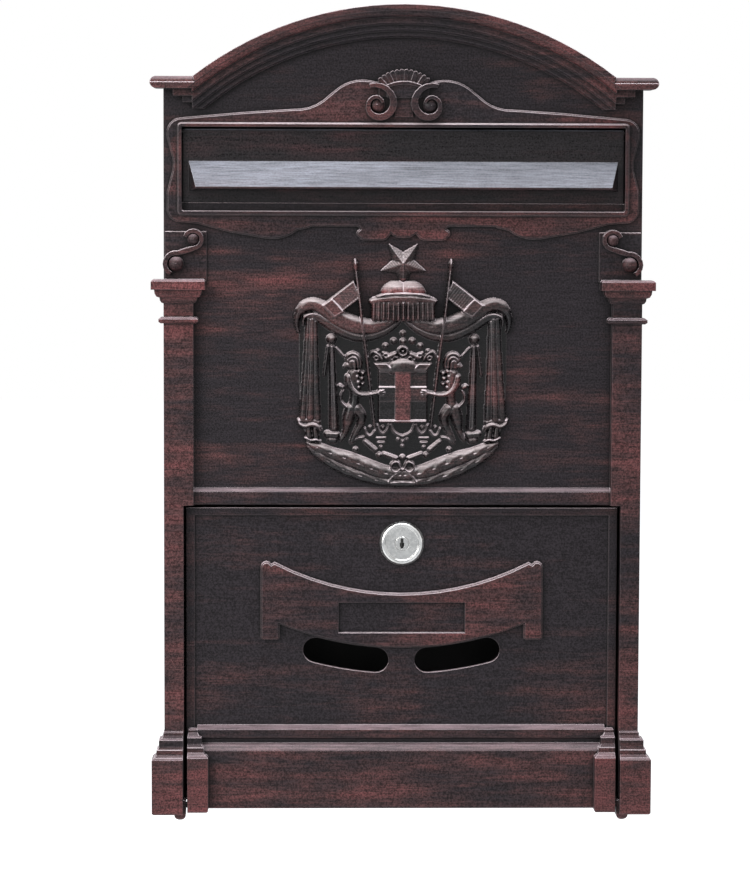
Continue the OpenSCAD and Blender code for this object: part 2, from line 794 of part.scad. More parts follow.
// Hanging curtain with its turned-up hem and tail
module badge_curtain() {
  limbs([[-49.6, 29.3, 1.5, 3.4], [-50.8, -19.1, 1.8, 3.8]]);
  limbs([[-46.6, 29.3, 1.7, 4.4], [-47, -19.1, 2.1, 5]]);
  limbs([[-43.8, 28.3, 1.3, 3.6], [-43.5, -19.1, 1.7, 4]]);
  limbs([[-52.7, -20.6, 1.5, 4], [-49.4, -22.6, 2, 5], [-45.8, -23.1, 2, 5], [-42.8, -24.4, 1.3, 4]]);
  limbs([[-46.9, -25.7, 1.7, 4], [-46.3, -29.2, 2.2, 4.4]]);
  limbs([[-43.3, -26.2, 1.2, 3.4], [-43.3, -29.8, 1.5, 3.6]]);
}

// Pole with its ball, furled cloth, cord and foot
module badge_pole() {
  limbs([[-36.2, 20.7, 2.7, 5]]);
  limbs([[-36.1, 16.6, 1.3, 3.2], [-34.9, -24.1, 2.7, 4.2]]);
  limbs([[-38, 17.1, 0.7, 2.2], [-39.9, 2.3, 0.8, 2]]);
  limbs([[-38.2, -27.7, 2, 4], [-33.7, -28, 2, 4]]);
  limbs([[-36.7, -30.8, 1.6, 3], [-34.7, -31, 1.6, 3]]);
  limbs([[-33.9, 16.3, 0.5, 2.2], [-29.9, 12, 0.5, 2.2]]);
}

// Spear that leans outward, with a leaf head
module badge_spear() {
  limbs([
    [-24, 55.8, 0.8, 4], [-21.5, 35.4, 0.8, 7.8], [-20.3, 25.2, 0.8, 7.8], [-18.7, 14, 0.8, 6],
    [-14.3, -23.6, 0.7, 4.6]
  ]);
  limbs([[-24.4, 61.1, 0.5, 3], [-24.2, 58.3, 1.4, 4.6], [-23.9, 54.8, 0.6, 3.6]]);
}

// Beads and scrolls of half the crown
module badge_crown() {
  limbs([[-4.7, 19.8, 1.7, 4.6]]);
  limbs([[-8.8, 17.4, 1.5, 4.2]]);
  limbs([[-12.7, 14.8, 1.1, 3.4]]);
  limbs([[-7.8, 11.5, 1.3, 4.2], [-4, 13.3, 1.1, 4.4]]);
  limbs([[-17.5, 11.5, 0.8, 3], [-15.4, 14.3, 0.8, 3.2], [-12.4, 13, 0.8, 3.4], [-10.6, 10.5, 0.8, 3.4]]);
  limbs([[-9.9, 13.8, 0.7, 3.4], [-7.1, 12.2, 0.7, 3.6], [-5.8, 10, 0.7, 3.6]]);
}

// Lion that holds the shield: body, head, mane, arm, legs and tail
module badge_lion() {
  limbs([[-25.1, 2.8, 3, 5], [-24.1, -5.3, 2.7, 5], [-24.6, -11.4, 2.4, 4.8], [-25.8, -15.5, 3.4, 5.4]]);
  limbs([[-26.3, 8.2, 3.1, 5.8], [-29.2, 6.7, 1.5, 4.6]]);
  limbs([[-22.5, 4.9, 2.1, 5.2]]);
  limbs([[-21.3, 0.3, 2.1, 4.8]]);
  limbs([[-23.3, -2.3, 1.8, 4.8]]);
  limbs([[-27.9, 11.6, 1.7, 4.8]]);
  limbs([[-24.8, 11.9, 1.8, 5]]);
  limbs([[-22.4, 8.9, 2, 5.2]]);
  limbs([[-27.6, -0.2, 2, 5.8], [-24.1, -5.8, 1.7, 6.2], [-19, -7.3, 1.2, 6], [-12.9, -6.1, 1.1, 6]]);
  limbs([[-10.7, -6.1, 1.5, 6.6]]);
  limbs([
    [-26.1, -15.5, 3.5, 5.2], [-27.6, -22.6, 2.5, 4.6], [-28.6, -26.7, 1.5, 3.8],
    [-30.4, -29.8, 1.3, 3.4]
  ]);
  limbs([
    [-23.1, -15.5, 3, 4.8], [-21, -20.6, 2.4, 4.4], [-23.6, -26.7, 1.6, 3.8],
    [-25.8, -31.3, 1.3, 3.4]
  ]);
  limbs([
    [-28.6, -13.5, 0.8, 3.4], [-31.1, -9.4, 0.7, 3.2], [-30.1, -5.3, 0.7, 3.2],
    [-32, -2.8, 1.4, 3.8]
  ]);
}

// Half of the chains, beads and bars under the shield
module badge_chain() {
  limbs([[-6.1, -22.4, 0.6, 3], [-4.3, -26.4, 0.6, 3], [0, -28.7, 0.6, 3.2]]);
  limbs([
    [-12.9, -22.9, 0.6, 2.8], [-11.4, -26.2, 0.6, 2.8], [-9.4, -27.1, 0.6, 2.8],
    [-7.5, -24.7, 0.6, 2.8], [-6.8, -22.4, 0.6, 2.8]
  ]);
  limbs([
    [-19.2, -24.7, 0.6, 2.8], [-18, -27.7, 0.6, 2.8], [-15.9, -28.2, 0.6, 2.8],
    [-13.9, -25.7, 0.6, 2.8]
  ]);
  limbs([[-10.1, -24.1, 1, 3.2]]);
  limbs([[-16.5, -24.1, 1, 3]]);
  limbs([[-2.1, -30.2, 0.9, 2.8]]);
  limbs([[-12.9, -29.5, 0.5, 2.6], [-8.9, -29.5, 0.5, 2.6]]);
  limbs([[-12.4, -31.8, 0.5, 2.6], [-9.4, -31.8, 0.5, 2.6]]);
  limbs([[-10.9, -34.1, 0.8, 2.8]]);
  limbs([[-19, -31.3, 1.1, 3.6], [-13.9, -35.6, 1.3, 4]]);
  limbs([[-11.9, -38.2, 1.5, 4.4]]);
  limbs([[-9.4, -37.6, 1, 3.6], [-3.3, -39.9, 1.1, 3.8]]);
  limbs([[-23.8, -35.4, 1.4, 3.8]]);
  limbs([[-26.1, -32.3, 0.7, 3], [-23.1, -29.8, 0.7, 3], [-20, -29.2, 0.7, 3]]);
}

// Half of the knot at the foot
module badge_bow() {
  limbs([
    [-0.8, -45, 0.7, 4.8], [-2.5, -41.7, 0.7, 5], [-5.3, -42.5, 0.7, 5], [-5.6, -45.3, 0.7, 5],
    [-3.3, -46.8, 0.7, 5], [-0.8, -45, 0.7, 4.8]
  ]);
  limbs([[-1.3, -46.6, 0.7, 4.8], [-5.1, -49.1, 0.7, 5], [-7.1, -52.2, 0.7, 4.8]]);
  limbs([[-6.1, -52.4, 0.7, 4.6], [0, -51.9, 0.7, 4.8]]);
}

// Half of the two folds of cloth along the foot
module badge_cloth() {
  limbs([
    [-47.4, -33.8, 1.2, 3], [-42.3, -35.1, 2.5, 4.8], [-35.7, -37.6, 2.5, 3.8],
    [-28.6, -39.7, 3.1, 5], [-21, -43, 3.5, 4], [-13.4, -46.3, 3.6, 4.8], [-6.3, -48.6, 3.2, 3.8],
    [0, -49.4, 3, 4.2]
  ]);
  limbs([
    [-47.9, -34.6, 1, 2.4], [-41.8, -38.9, 1.9, 3.6], [-33.7, -44, 2.1, 3],
    [-24.6, -48.1, 2.2, 3.8], [-15.9, -50.9, 2.1, 3], [-7.3, -52.6, 1.9, 3.6],
    [0, -53.2, 1.7, 3.4]
  ]);
}

// Half of the domed bonnet and its rim
module badge_bonnet() {
  limbs([[-6.3, 42.5, 6.1, 6.8], [-3.3, 43.3, 6.9, 8]]);
  limbs([[-16.2, 40.4, 1.6, 6.6], [-11.4, 41, 1.8, 8], [0, 41.3, 1.9, 8.8]]);
}

// Beads and shell on the middle line
module badge_middle() {
  limbs([[0, 23.7, 1.5, 4.2]]);
  limbs([[0, 19.6, 1.6, 4.8]]);
  limbs([[0, 14.7, 0.9, 4.4]]);
  limbs([[0, -31.3, 1, 3]]);
  limbs([[0, -33.6, 0.8, 2.8]]);
  limbs([[0, -39.4, 1.4, 4.6]]);
  limbs([[0, -45.5, 1.2, 5.2]]);
  limbs([[-4.3, 6.4, 3.6, 5.2]]);
  limbs([[4.3, 6.4, 3.6, 5.2]]);
  limbs([[0, 7.4, 4.4, 6.4]]);
}

// Pennant and its hem
module badge_pennant() {
  pane([[-25.1, 50.2, 0.5, 4.4], [-40.9, 38, 0.5, 6.8], [-35, 31.9, 0.5, 7.6], [-21.8, 41.8, 0.5, 5]]);
  pane([[-40.7, 37.9, 0.6, 7.4], [-34.9, 32, 0.6, 8.2], [-30.1, 34.9, 0.6, 7.6], [-36, 41.3, 0.6, 7]]);
}

// Square shield with a plain cross, scrolled corners and a ledge
shield_half = 12.2;
shield_v0 = -21.1;
shield_v1 = 4.9;
module badge_shield() {
  linear_extrude(3.4) box2(-shield_half, shield_half, shield_v0, shield_v1);
  linear_extrude(4.8) box2(-3.9, 3.9, shield_v0, shield_v1);
  linear_extrude(4.6) box2(-shield_half, shield_half, -10.7, -3.3);
  limbs([[-11.6, shield_v0 + 0.2, 0.7, 5.2], [11.6, shield_v0 + 0.2, 0.7, 5.2]]);
  both_sides()
    pane([[-14.4, 8.4, 0.5, 4.8], [-8.1, 8.4, 0.5, 4.8], [-5.1, 5.1, 0.5, 5], [-11.9, 5.1, 0.5, 5]]);
}

// Pleated fringe under the bonnet's rim
pleats = 6;
pleat_step = 2.47;
module badge_fringe() {
  for (i = [-pleats:pleats]) let (z = 6.2 + 1.2 * (1 - abs(i) / pleats))
    limbs([[i * pleat_step, 37.6, 1.25, z], [i * pleat_step * 1.02, 31, 1.3, z + 0.5]]);
}

// Small ring in the crown
ring_r = 2.2;
module badge_ring() {
  translate([0, 14.7]) linear_extrude(3.8) difference() {
    circle(r = ring_r + 0.65, $fn = 12);
    circle(r = ring_r - 0.65, $fn = 12);
  }
}

// Five-pointed faceted star, one point down
star_r = 12.7;
star_v = 59.1;
star_edge = 1.2;
star_peak = 5.2;
module badge_star() {
  ring = [for (i = [0:9]) (i % 2 == 0 ? star_r : star_r * 0.46) * [cos(36 * i - 90), sin(36 * i - 90)]];
  translate([0, star_v, 0]) polyhedron(
    points = concat(
      [for (p = ring) [p[0], p[1], 0]],
      [for (p = ring) [p[0], p[1], star_edge]],
      [[0, 0, star_peak]]
    ),
    faces = concat(
      [[for (i = [0:9]) i]],
      [for (i = [0:9]) [i, 10 + i, 10 + (i + 1) % 10, (i + 1) % 10]],
      [for (i = [0:9]) [10 + i, 20, 10 + (i + 1) % 10]]
    )
  );
}

// Half of the backing that joins the figures, from its top round to its foot
web_left = [
  [0, 50.7], [-11.4, 43.6], [-16, 42], [-16.5, 30.3], [-26.1, 31.4], [-35.7, 35.9], [-45.8, 39.5],
  [-51.9, 35.9], [-52.9, 31.4], [-52.6, -19.6], [-49.9, -26.7], [-47.9, -34.3], [-41.3, -39.4],
  [-33.7, -44.5], [-24.6, -48.6], [-16, -51.7], [-7.3, -53.4], [0, -53.9]
];

// The figures start inside the backing
figure_foot = 0.5;
module badge_figures() {
  badge_fringe();
  badge_ring();
  badge_shield();
  badge_middle();
  both_sides() {
    badge_mantle();
    badge_curtain();
    badge_pole();
    badge_spear();
    badge_crown();
    badge_lion();
    badge_chain();
    badge_bow();
    badge_cloth();
    badge_bonnet();
    badge_pennant();
  }
}

module crest() {
  color("#3a2a2a") {
    translate([0, -panel_d, crest_h - mount_h]) rotate([90, 0, 0]) {
      linear_extrude(web_t) polygon(concat(web_left, reflected(web_left)));
      badge_star();
      translate([0, 0, figure_foot]) badge_figures();
    }
    crest_stems(crest_stem_r, $fn = 24);
  }
}

module crest_nuts() {
  color("#7d7d7b") for (p = crest_stem_places)
    translate([p[0], -panel_back + 1.2, crest_h + p[1] - mount_h]) rotate([90, 0, 0]) difference() {
      cylinder(r = 4, h = 1.2);
      translate([0, 0, -over]) cylinder(r = crest_stem_r + drive_gap, h = 3 * over);
    }
}

module flap_pin_right() {
  color("#9a9a98") bar_x(flap_pin_in, flap_pin_in + flap_pin_len, flap_pivot_d, flap_pivot_h, flap_pin_r);
}
module flap_pin_left() { mirror([1, 0, 0]) flap_pin_right(); }

module door_pin_right() {
  color("#9a9a98") bar_x(door_pin_in, door_pin_out, door_pin_d, door_pin_h, door_pin_r);
}
module door_pin_left() { mirror([1, 0, 0]) door_pin_right(); }

// Wedge that the lip is cut from, drawn in by a wall
module lip_wedge(wall) {
  nose_d = flap_front + lip_reach - wall;
  run_x(-flap_half, flap_half) polygon([
    [flap_front - 0.5, lip_top + 0.5 - wall * 1.3], [flap_front, lip_top - wall * 1.3],
    [nose_d - 0.5, lip_nose + 0.6], [nose_d, lip_nose], [nose_d - 0.3, lip_nose - 0.8],
    [nose_d - 0.9, lip_nose - 1 - 2 * wall], [flap_front - 0.5, lip_nose - 2.2 - 2 * wall]
  ]);
}

module lip_plan(wall) {
  top_half = slot_half - 3.4 - wall;
  nose_half = slot_half - 7.4 - wall;
  stand_z(slot_low, slot_top) polygon([
    [-top_half - 0.2, flap_front - 1], [top_half + 0.2, flap_front - 1],
    [nose_half, flap_front + lip_reach], [-nose_half, flap_front + lip_reach]
  ]);
}

// Slot flap: plate, hinge barrel along its top edge and hollow pull lip
module flap() {
  color("#33373d") difference() {
    union() {
      run_x(-flap_half, flap_half)
        box2(flap_back, flap_front, flap_low, flap_pivot_h);
      bar_x(-flap_half, flap_half, flap_pivot_d, flap_pivot_h, barrel_flap_r);
      difference() {
        intersection() {
          lip_wedge(0);
          lip_plan(0);
        }
        intersection() {
          lip_wedge(lip_wall);
          lip_plan(lip_wall);
        }
      }
    }
    both_sides()
      bar_x(flap_pin_in - 0.3, slot_half, flap_pivot_d, flap_pivot_h, flap_pin_r + run_gap);
  }
}

// Door outline features
bow_rise = 3;
bow_step = 0.7;
bow_post = 72.1;
bow_pts_right = concat(
  [[0, 84.7]],
  [for (i = [1:7]) let (x = 62.5 * i / 7) [x, 251.7 - sqrt(167 * 167 - x * x)]],
  [[62.5, 90.2]],
  arc(64, 90.2, 1.5, 180, 270, 2),
  arc(bow_post - 1.5, 90.2, 1.5, 270, 360, 2),
  arc(bow_post - 2.9, 126.1, 2.9, 0, 150, 5),
  [for (i = [7:-1:1]) let (x = 65 * i / 7) [x, 252.5 - sqrt(140 * 140 - x * x)]],
  [[0, 112.5]]
);
bow_pts = concat(
  [for (p = bow_pts_right) p],
  [for (i = [len(bow_pts_right) - 2:-1:1]) [-bow_pts_right[i][0], bow_pts_right[i][1]]]
);

// Curved view slots: their middle line is an arc, and their ends are round
slot_arc_h = 252;
slot_arc_r = 174.5;
slot_arc_half = 6.5;
slot_arc_a0 = 4.3;
slot_arc_a1 = 14.6;

module view_slot() {
  c0 = slot_arc_r * [sin(slot_arc_a0), -cos(slot_arc_a0)];
  c1 = slot_arc_r * [sin(slot_arc_a1), -cos(slot_arc_a1)];
  translate([0, slot_arc_h]) polygon(tidy(concat(
    arc(0, 0, slot_arc_r + slot_arc_half, slot_arc_a0 - 90, slot_arc_a1 - 90, 6),
    arc(c1[0], c1[1], slot_arc_half, slot_arc_a1 - 90, slot_arc_a1 + 90, 9),
    arc(0, 0, slot_arc_r - slot_arc_half, slot_arc_a1 - 90, slot_arc_a0 - 90, 6),
    arc(c0[0], c0[1], slot_arc_half, slot_arc_a0 + 90, slot_arc_a0 + 270, 9)
  )));
}

module door_block() {
  steps = base_steps(block_low, 30);
  last = len(steps) - 1;
  front_pts = concat(
    [for (p = steps) [block_half - 0.05 - max(p[0] - 5.4, 0), p[1]]],
    [for (i = [last:-1:0]) [block_in + steps[i][0] * 0.95, steps[i][1]]]
  );
  side_pts = concat(
    [for (p = steps) [panel_d + block_rise - p[0] * 1.35, p[1]]],
    [[door_back + eps, steps[last][1]], [door_back + eps, block_low]]
  );
  mitred(front_pts, side_pts, block_in - 1, block_half + 1);
}

module door_casting() {
  ledge = 42.8;
  color("#2a2224") difference() {
    union() {
      raised(door_back, door_t) box2(-door_half, door_half, door_low, door_top);
      raised(door_field - eps, panel_d - door_field) difference() {
        box2(-door_half, door_half, 30, door_top);
        box2(-door_half + door_border, door_half - door_border, 0, door_top - door_border + 0.3);
      }
      run_x(-block_half + 5, block_half - 5) polygon([
        [door_back, door_low], [panel_d + 3.4, door_low], [panel_d + 4, door_low + 0.6],
        [panel_d + 4, ledge - 11], [panel_d + 3.6, ledge - 10.4], [panel_d + 2, ledge - 8.5],
        [panel_d - 0.4, ledge - 7.6], [panel_d - 0.4, ledge - 5.6], [panel_d + 1.4, ledge - 4.8],
        [panel_d + 1.6, ledge - 4.4], [panel_d + 1.6, ledge - 0.4], [panel_d + 1.2, ledge],
        [door_field, ledge + 1.7], [door_back, ledge + 1.7]
      ]);
      both_sides() door_block();
      stepped(door_field, bow_rise, bow_step) polygon(bow_pts);
      stepped(door_field, bow_rise) polygon(inset(tidy(bow_pts), bow_step));
    }
    raised(door_field + bow_rise - 1.8, 10) box2(-32.4, 32.4, 92.4, 108);
    both_sides() raised(door_back - over, 20) view_slot();
    both_sides()
      bar_x(door_pin_in - 0.4, door_half + over, door_pin_d, door_pin_h, door_pin_r + run_gap);
    raised(door_back - over, 20) translate([0, lock_h]) barrel_view(seat_gap);
  }
}

// Front view of the barrel: a circle with two flats
module barrel_view(gap) {
  intersection() {
    circle(r = barrel_r + gap);
    square([barrel_flats + 2 * gap, 4 * barrel_r], center = true);
  }
}

// Bezel and threaded barrel with the seat of the cylinder
module lock_body() {
  bezel_t = 2.6;
  face_in = 0.7;
  color("silver") difference() {
    union() {
      raised(barrel_back, barrel_len + eps) translate([0, lock_h]) barrel_view(0);
      turned(0, lock_h) translate([0, door_field]) polygon([
        [0, 0], [bezel_r, 0], [bezel_r, 0.9], [bezel_r - 1.1, bezel_t - 0.3], [bezel_r - 1.6, bezel_t],
        [8.8, bezel_t], [8.3, bezel_t - face_in], [0, bezel_t - face_in]
      ]);
    }
    turned(0, lock_h) {
      square([plug_r + run_gap, door_field - 2]);
      square([plug_nose_r + run_gap, door_field + 20]);
    }
  }
}

module lock_washer() {
  color("#b5b5b2") raised(door_back - washer_t, washer_t) translate([0, lock_h]) difference() {
    circle(r = 13);
    barrel_view(0.15);
  }
}

module lock_nut() {
  color("#b5b5b2") raised(door_back - washer_t - nut_t, nut_t) translate([0, lock_h]) difference() {
    circle(r = 13.3, $fn = 6);
    circle(r = barrel_r + drive_gap);
  }
}

// Cylinder with its keyway, square tail and screw hole
module lock_plug() {
  keyway_len = 14;
  front = door_field + 2.2;
  color("silver") difference() {
    union() {
      turned(0, lock_h) {
        translate([0, cam_front]) square([plug_r, door_field - 2.3 - cam_front]);
        translate([0, cam_front]) square([plug_nose_r, front - 0.3 - cam_front]);
        translate([0, front - 0.31]) square([plug_nose_r - 0.3, 0.31]);
      }
      raised(cam_back + 0.1, cam_t) translate([0, lock_h]) square(tail_w, center = true);
    }
    raised(front - keyway_len, keyway_len + over) translate([0, lock_h]) {
      square([1.4, 5.4], center = true);
      translate([0, -0.6]) square([2.2, 2], center = true);
    }
    turned(0, lock_h) square([2, cam_back + 11]);
  }
}

// Flat cam, lying to the side when unlocked
module lock_cam() {
  tip_half = 4.5;
  color("#a9a9a6") raised(cam_back, cam_t) translate([0, lock_h]) difference() {
    union() {
      circle(r = 7.5);
      polygon([[0, -7.5], [cam_len - 6, -tip_half], [cam_len - 6, tip_half], [0, 7.5]]);
      translate([cam_len - 6, -tip_half]) square([6 - 1.5, 2 * tip_half]);
      translate([cam_len - 2, 0]) square([4, 2 * tip_half - 3], center = true);
      for (s = [-1, 1]) translate([cam_len - 1.5, s * (tip_half - 1.5)]) circle(r = 1.5);
    }
    square(tail_w + 0.2, center = true);
  }
}

module cam_washer() {
  color("#b5b5b2") turned(0, lock_h) translate([2.15, cam_back - washer_t]) square([4, washer_t]);
}

module cam_screw() {
  head_t = 2.2;
  back = cam_back - washer_t - head_t;
  color("#b5b5b2") difference() {
    turned(0, lock_h) {
      translate([0, back]) square([3.8, head_t]);
      translate([0, back]) square([2 - run_gap, head_t + washer_t + 9]);
    }
    for (a = [0, 90]) translate([0, -back + over, lock_h - mount_h]) rotate([90, a, 0])
      translate([-2, -0.4, 0]) cube([4, 0.8, over + 1.2]);
  }
}

back_plate();
side_wrap();
bottom_plate();
body_rivets();
front_casting();
front_screws();
crest();
crest_nuts();
flap_pin_left();
flap_pin_right();
door_pin_left();
door_pin_right();
flap();
door_casting();
lock_body();
lock_washer();
lock_nut();
lock_plug();
lock_cam();
cam_washer();
cam_screw();
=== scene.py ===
"""Wall mailbox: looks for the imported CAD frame. All lengths are in metres, in the frame of the CAD part."""
import math

import bmesh
import bpy
import numpy as np
from mathutils import Matrix, Vector


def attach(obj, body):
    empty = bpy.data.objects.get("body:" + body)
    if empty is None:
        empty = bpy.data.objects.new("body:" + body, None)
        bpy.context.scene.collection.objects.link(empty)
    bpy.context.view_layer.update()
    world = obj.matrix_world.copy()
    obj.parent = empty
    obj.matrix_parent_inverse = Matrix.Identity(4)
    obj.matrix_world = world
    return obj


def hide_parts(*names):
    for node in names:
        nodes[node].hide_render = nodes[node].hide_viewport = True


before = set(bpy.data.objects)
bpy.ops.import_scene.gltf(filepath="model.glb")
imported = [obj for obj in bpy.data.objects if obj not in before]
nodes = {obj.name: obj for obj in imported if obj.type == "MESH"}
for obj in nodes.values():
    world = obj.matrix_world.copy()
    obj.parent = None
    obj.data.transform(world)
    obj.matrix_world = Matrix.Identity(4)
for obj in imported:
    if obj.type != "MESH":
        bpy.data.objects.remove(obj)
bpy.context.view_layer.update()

MM = 0.001
MOUNT_H = 210.0  # height of the frame's origin over the underside of the base blocks, in mm
PANEL_D = 70.0  # distance from the wall to the face of the panel, in mm


# Camera, fitted to points picked on the photo: place in mm, angles, and focal length in pixels
CAM_MM = (-52.4, -1670.0, 112.3)
CAM_YAW, CAM_PITCH, CAM_ROLL = math.radians(1.377), math.radians(4.825), math.radians(0.1945)
CAM_F_PX, FRAME_LONG_PX, SENSOR = 3152.1, 896.0, 36.0


def make_camera():
    cam = bpy.data.cameras.new("camera")
    obj = bpy.data.objects.new("camera", cam)
    bpy.context.scene.collection.objects.link(obj)
    level = math.cos(CAM_PITCH)
    fwd = Vector((math.sin(CAM_YAW) * level, math.cos(CAM_YAW) * level, -math.sin(CAM_PITCH)))
    right = Vector((math.cos(CAM_YAW), -math.sin(CAM_YAW), 0.0))
    up = right.cross(fwd)
    r = right * math.cos(CAM_ROLL) + up * math.sin(CAM_ROLL)
    u = -right * math.sin(CAM_ROLL) + up * math.cos(CAM_ROLL)
    m = Matrix((r, u, -fwd)).transposed().to_4x4()
    m.translation = Vector(CAM_MM) * MM
    obj.matrix_world = m
    cam.sensor_width = SENSOR
    cam.lens = CAM_F_PX * SENSOR / FRAME_LONG_PX
    cam.clip_start, cam.clip_end = 0.05, 50.0
    bpy.context.scene.camera = obj


class Graph:
    """A short way to write a node tree: values, links and sockets in one call."""

    def __init__(self, tree):
        self.tree = tree
        tree.nodes.clear()

    def node(self, kind, props=None, **sockets):
        n = self.tree.nodes.new(kind)
        for k, v in (props or {}).items():
            setattr(n, k, v)
        for k, v in sockets.items():
            self.put(n, k.replace("_", " "), v)
        return n

    def put(self, n, key, v):
        sock = n.inputs[int(key)] if key.isdigit() else n.inputs[key]
        if isinstance(v, bpy.types.NodeSocket):
            self.tree.links.new(v, sock)
        elif isinstance(v, bpy.types.Node):
            self.tree.links.new(v.outputs[0], sock)
        else:
            sock.default_value = v

    def math(self, op, a, b=None, c=None, clamp=False):
        n = self.node("ShaderNodeMath", {"operation": op, "use_clamp": clamp})
        for i, v in enumerate((a, b, c)):
            if v is not None:
                self.put(n, str(i), v)
        return n.outputs[0]

    def ramp(self, fac, low, high, to_low=0.0, to_high=1.0):
        n = self.node("ShaderNodeMapRange", {"interpolation_type": "SMOOTHSTEP"})
        keys = ("Value", "From Min", "From Max", "To Min", "To Max")
        for key, v in zip(keys, (fac, low, high, to_low, to_high)):
            self.put(n, key, v)
        return n.outputs[0]

    def mix(self, fac, a, b, blend="MIX"):
        n = self.node("ShaderNodeMix", {"data_type": "RGBA", "blend_type": blend, "clamp_factor": True})
        self.put(n, "0", fac)
        self.put(n, "6", a)
        self.put(n, "7", b)
        return n.outputs[2]

    def noise(self, vector, scale, detail=4.0, rough=0.55, distortion=0.0):
        n = self.node("ShaderNodeTexNoise")
        keys = ("Vector", "Scale", "Detail", "Roughness", "Distortion")
        for key, v in zip(keys, (vector, scale, detail, rough, distortion)):
            self.put(n, key, v)
        return n.outputs[0]

    def stretched(self, vector, scale, offset=(0.0, 0.0, 0.0)):
        n = self.node("ShaderNodeMapping")
        self.put(n, "Vector", vector)
        n.inputs["Scale"].default_value = scale
        n.inputs["Location"].default_value = offset
        return n.outputs[0]


# Cornice, which is wiped less: height of the arch's centre, its inner radius and the lower edge of its
# straight ends in mm, and how much less
CORNICE = (26.8, 158.2, 149.0, 0.13)
ARCH_Z = (0.100, 0.110)  # heights between which the arch's part of that begins, in metres
ENDS_X = (0.099, 0.101)  # the same for its ends, out from the middle
# Painted shade colours for what lies deep: crevices, the narrowest of them, and the ground between the badge's
# figures
CREVICE_SHADE, DEEP_CREVICE_SHADE, SUNK_GROUND_SHADE = (0.003, 0.003, 0.0035), (0.002, 0.002, 0.002), (0.004, 0.004, 0.0045)


def rgb(r, g, b):
    return (r, g, b, 1.0)


def new_material(name):
    mat = bpy.data.materials.new(name)
    mat.use_nodes = True
    g = Graph(mat.node_tree)
    out = g.node("ShaderNodeOutputMaterial")
    bsdf = g.node("ShaderNodeBsdfPrincipled")
    mat.node_tree.links.new(bsdf.outputs[0], out.inputs[0])
    return mat, g, bsdf


def cornice_mask(g, x, z, proud, arch):
    """Where the faces of the cornice are."""
    centre, inner, ends = (v * MM for v in arch[:3])
    fade = 0.5 * MM
    across, upward = g.math("POWER", x, 2.0), g.math("POWER", g.math("SUBTRACT", z, centre), 2.0)
    ring = g.math("SQRT", g.math("ADD", across, upward))
    in_arch = g.math("MULTIPLY", g.ramp(ring, inner - fade, inner + fade), g.ramp(z, *ARCH_Z))
    aside = g.ramp(g.math("ABSOLUTE", x), *ENDS_X)
    in_ends = g.math("MULTIPLY", g.math("MULTIPLY", g.ramp(z, ends - fade, ends + fade), proud), aside)
    return g.math("MAXIMUM", g.math("MULTIPLY", in_arch, proud), in_ends)


def band_mask(g, x, z, half, low, top):
    """Where a band round the middle is, between two heights in mm."""
    fade = 0.4
    beside = g.ramp(g.math("ABSOLUTE", x), (half + fade) * MM, (half - fade) * MM)
    over = g.ramp(z, (low - fade) * MM, (low + fade) * MM)
    under = g.ramp(z, (top + fade) * MM, (top - fade) * MM)
    return g.math("MULTIPLY", beside, g.math("MULTIPLY", over, under))


def shaded(g, distance):
    """How open a place is to its surroundings, within a distance."""
    props = {"samples": 8, "only_local": False}
    return g.node("ShaderNodeAmbientOcclusion", props, Distance=distance).outputs["AO"]


def sky_glow(g, up, near, hair, grain, patch):
    """Painted sky reflection: a pale sheen on what faces up, broken by the brush marks."""
    glow = g.math("MULTIPLY", g.ramp(up, 0.25, 0.85), g.ramp(near, 0.3, 0.8))
    marks = g.math("MULTIPLY", g.ramp(hair, 0.3, 0.7, 0.62, 1.25), g.ramp(grain, 0.3, 0.7, 0.85, 1.15))
    return g.math("MULTIPLY", g.math("MULTIPLY", glow, marks), g.ramp(patch, 0.32, 0.66, 0.7, 1.12))


def worn_edge(g, soft, up, near, hair, gain):
    """Painted highlight along edges where the rounded normal leaves the true one, most of all those that face
    up.
    """
    turn = g.node("ShaderNodeVectorMath", {"operation": "DOT_PRODUCT"})
    g.put(turn, "0", soft.outputs[0])
    g.put(turn, "1", g.node("ShaderNodeNewGeometry").outputs["True Normal"])
    edge = g.ramp(turn.outputs["Value"], 0.992, 0.88)
    upward = g.ramp(up, 0.08, 0.55)
    edge = g.math("MULTIPLY", edge, g.math("ADD", g.math("MULTIPLY", upward, 0.9), 0.07))
    edge = g.math("MULTIPLY", edge, g.ramp(near, 0.12, 0.45))
    edge = g.math("MULTIPLY", edge, g.ramp(hair, 0.25, 0.6, 0.7, 1.0))
    return g.math("MULTIPLY", edge, gain, clamp=True)


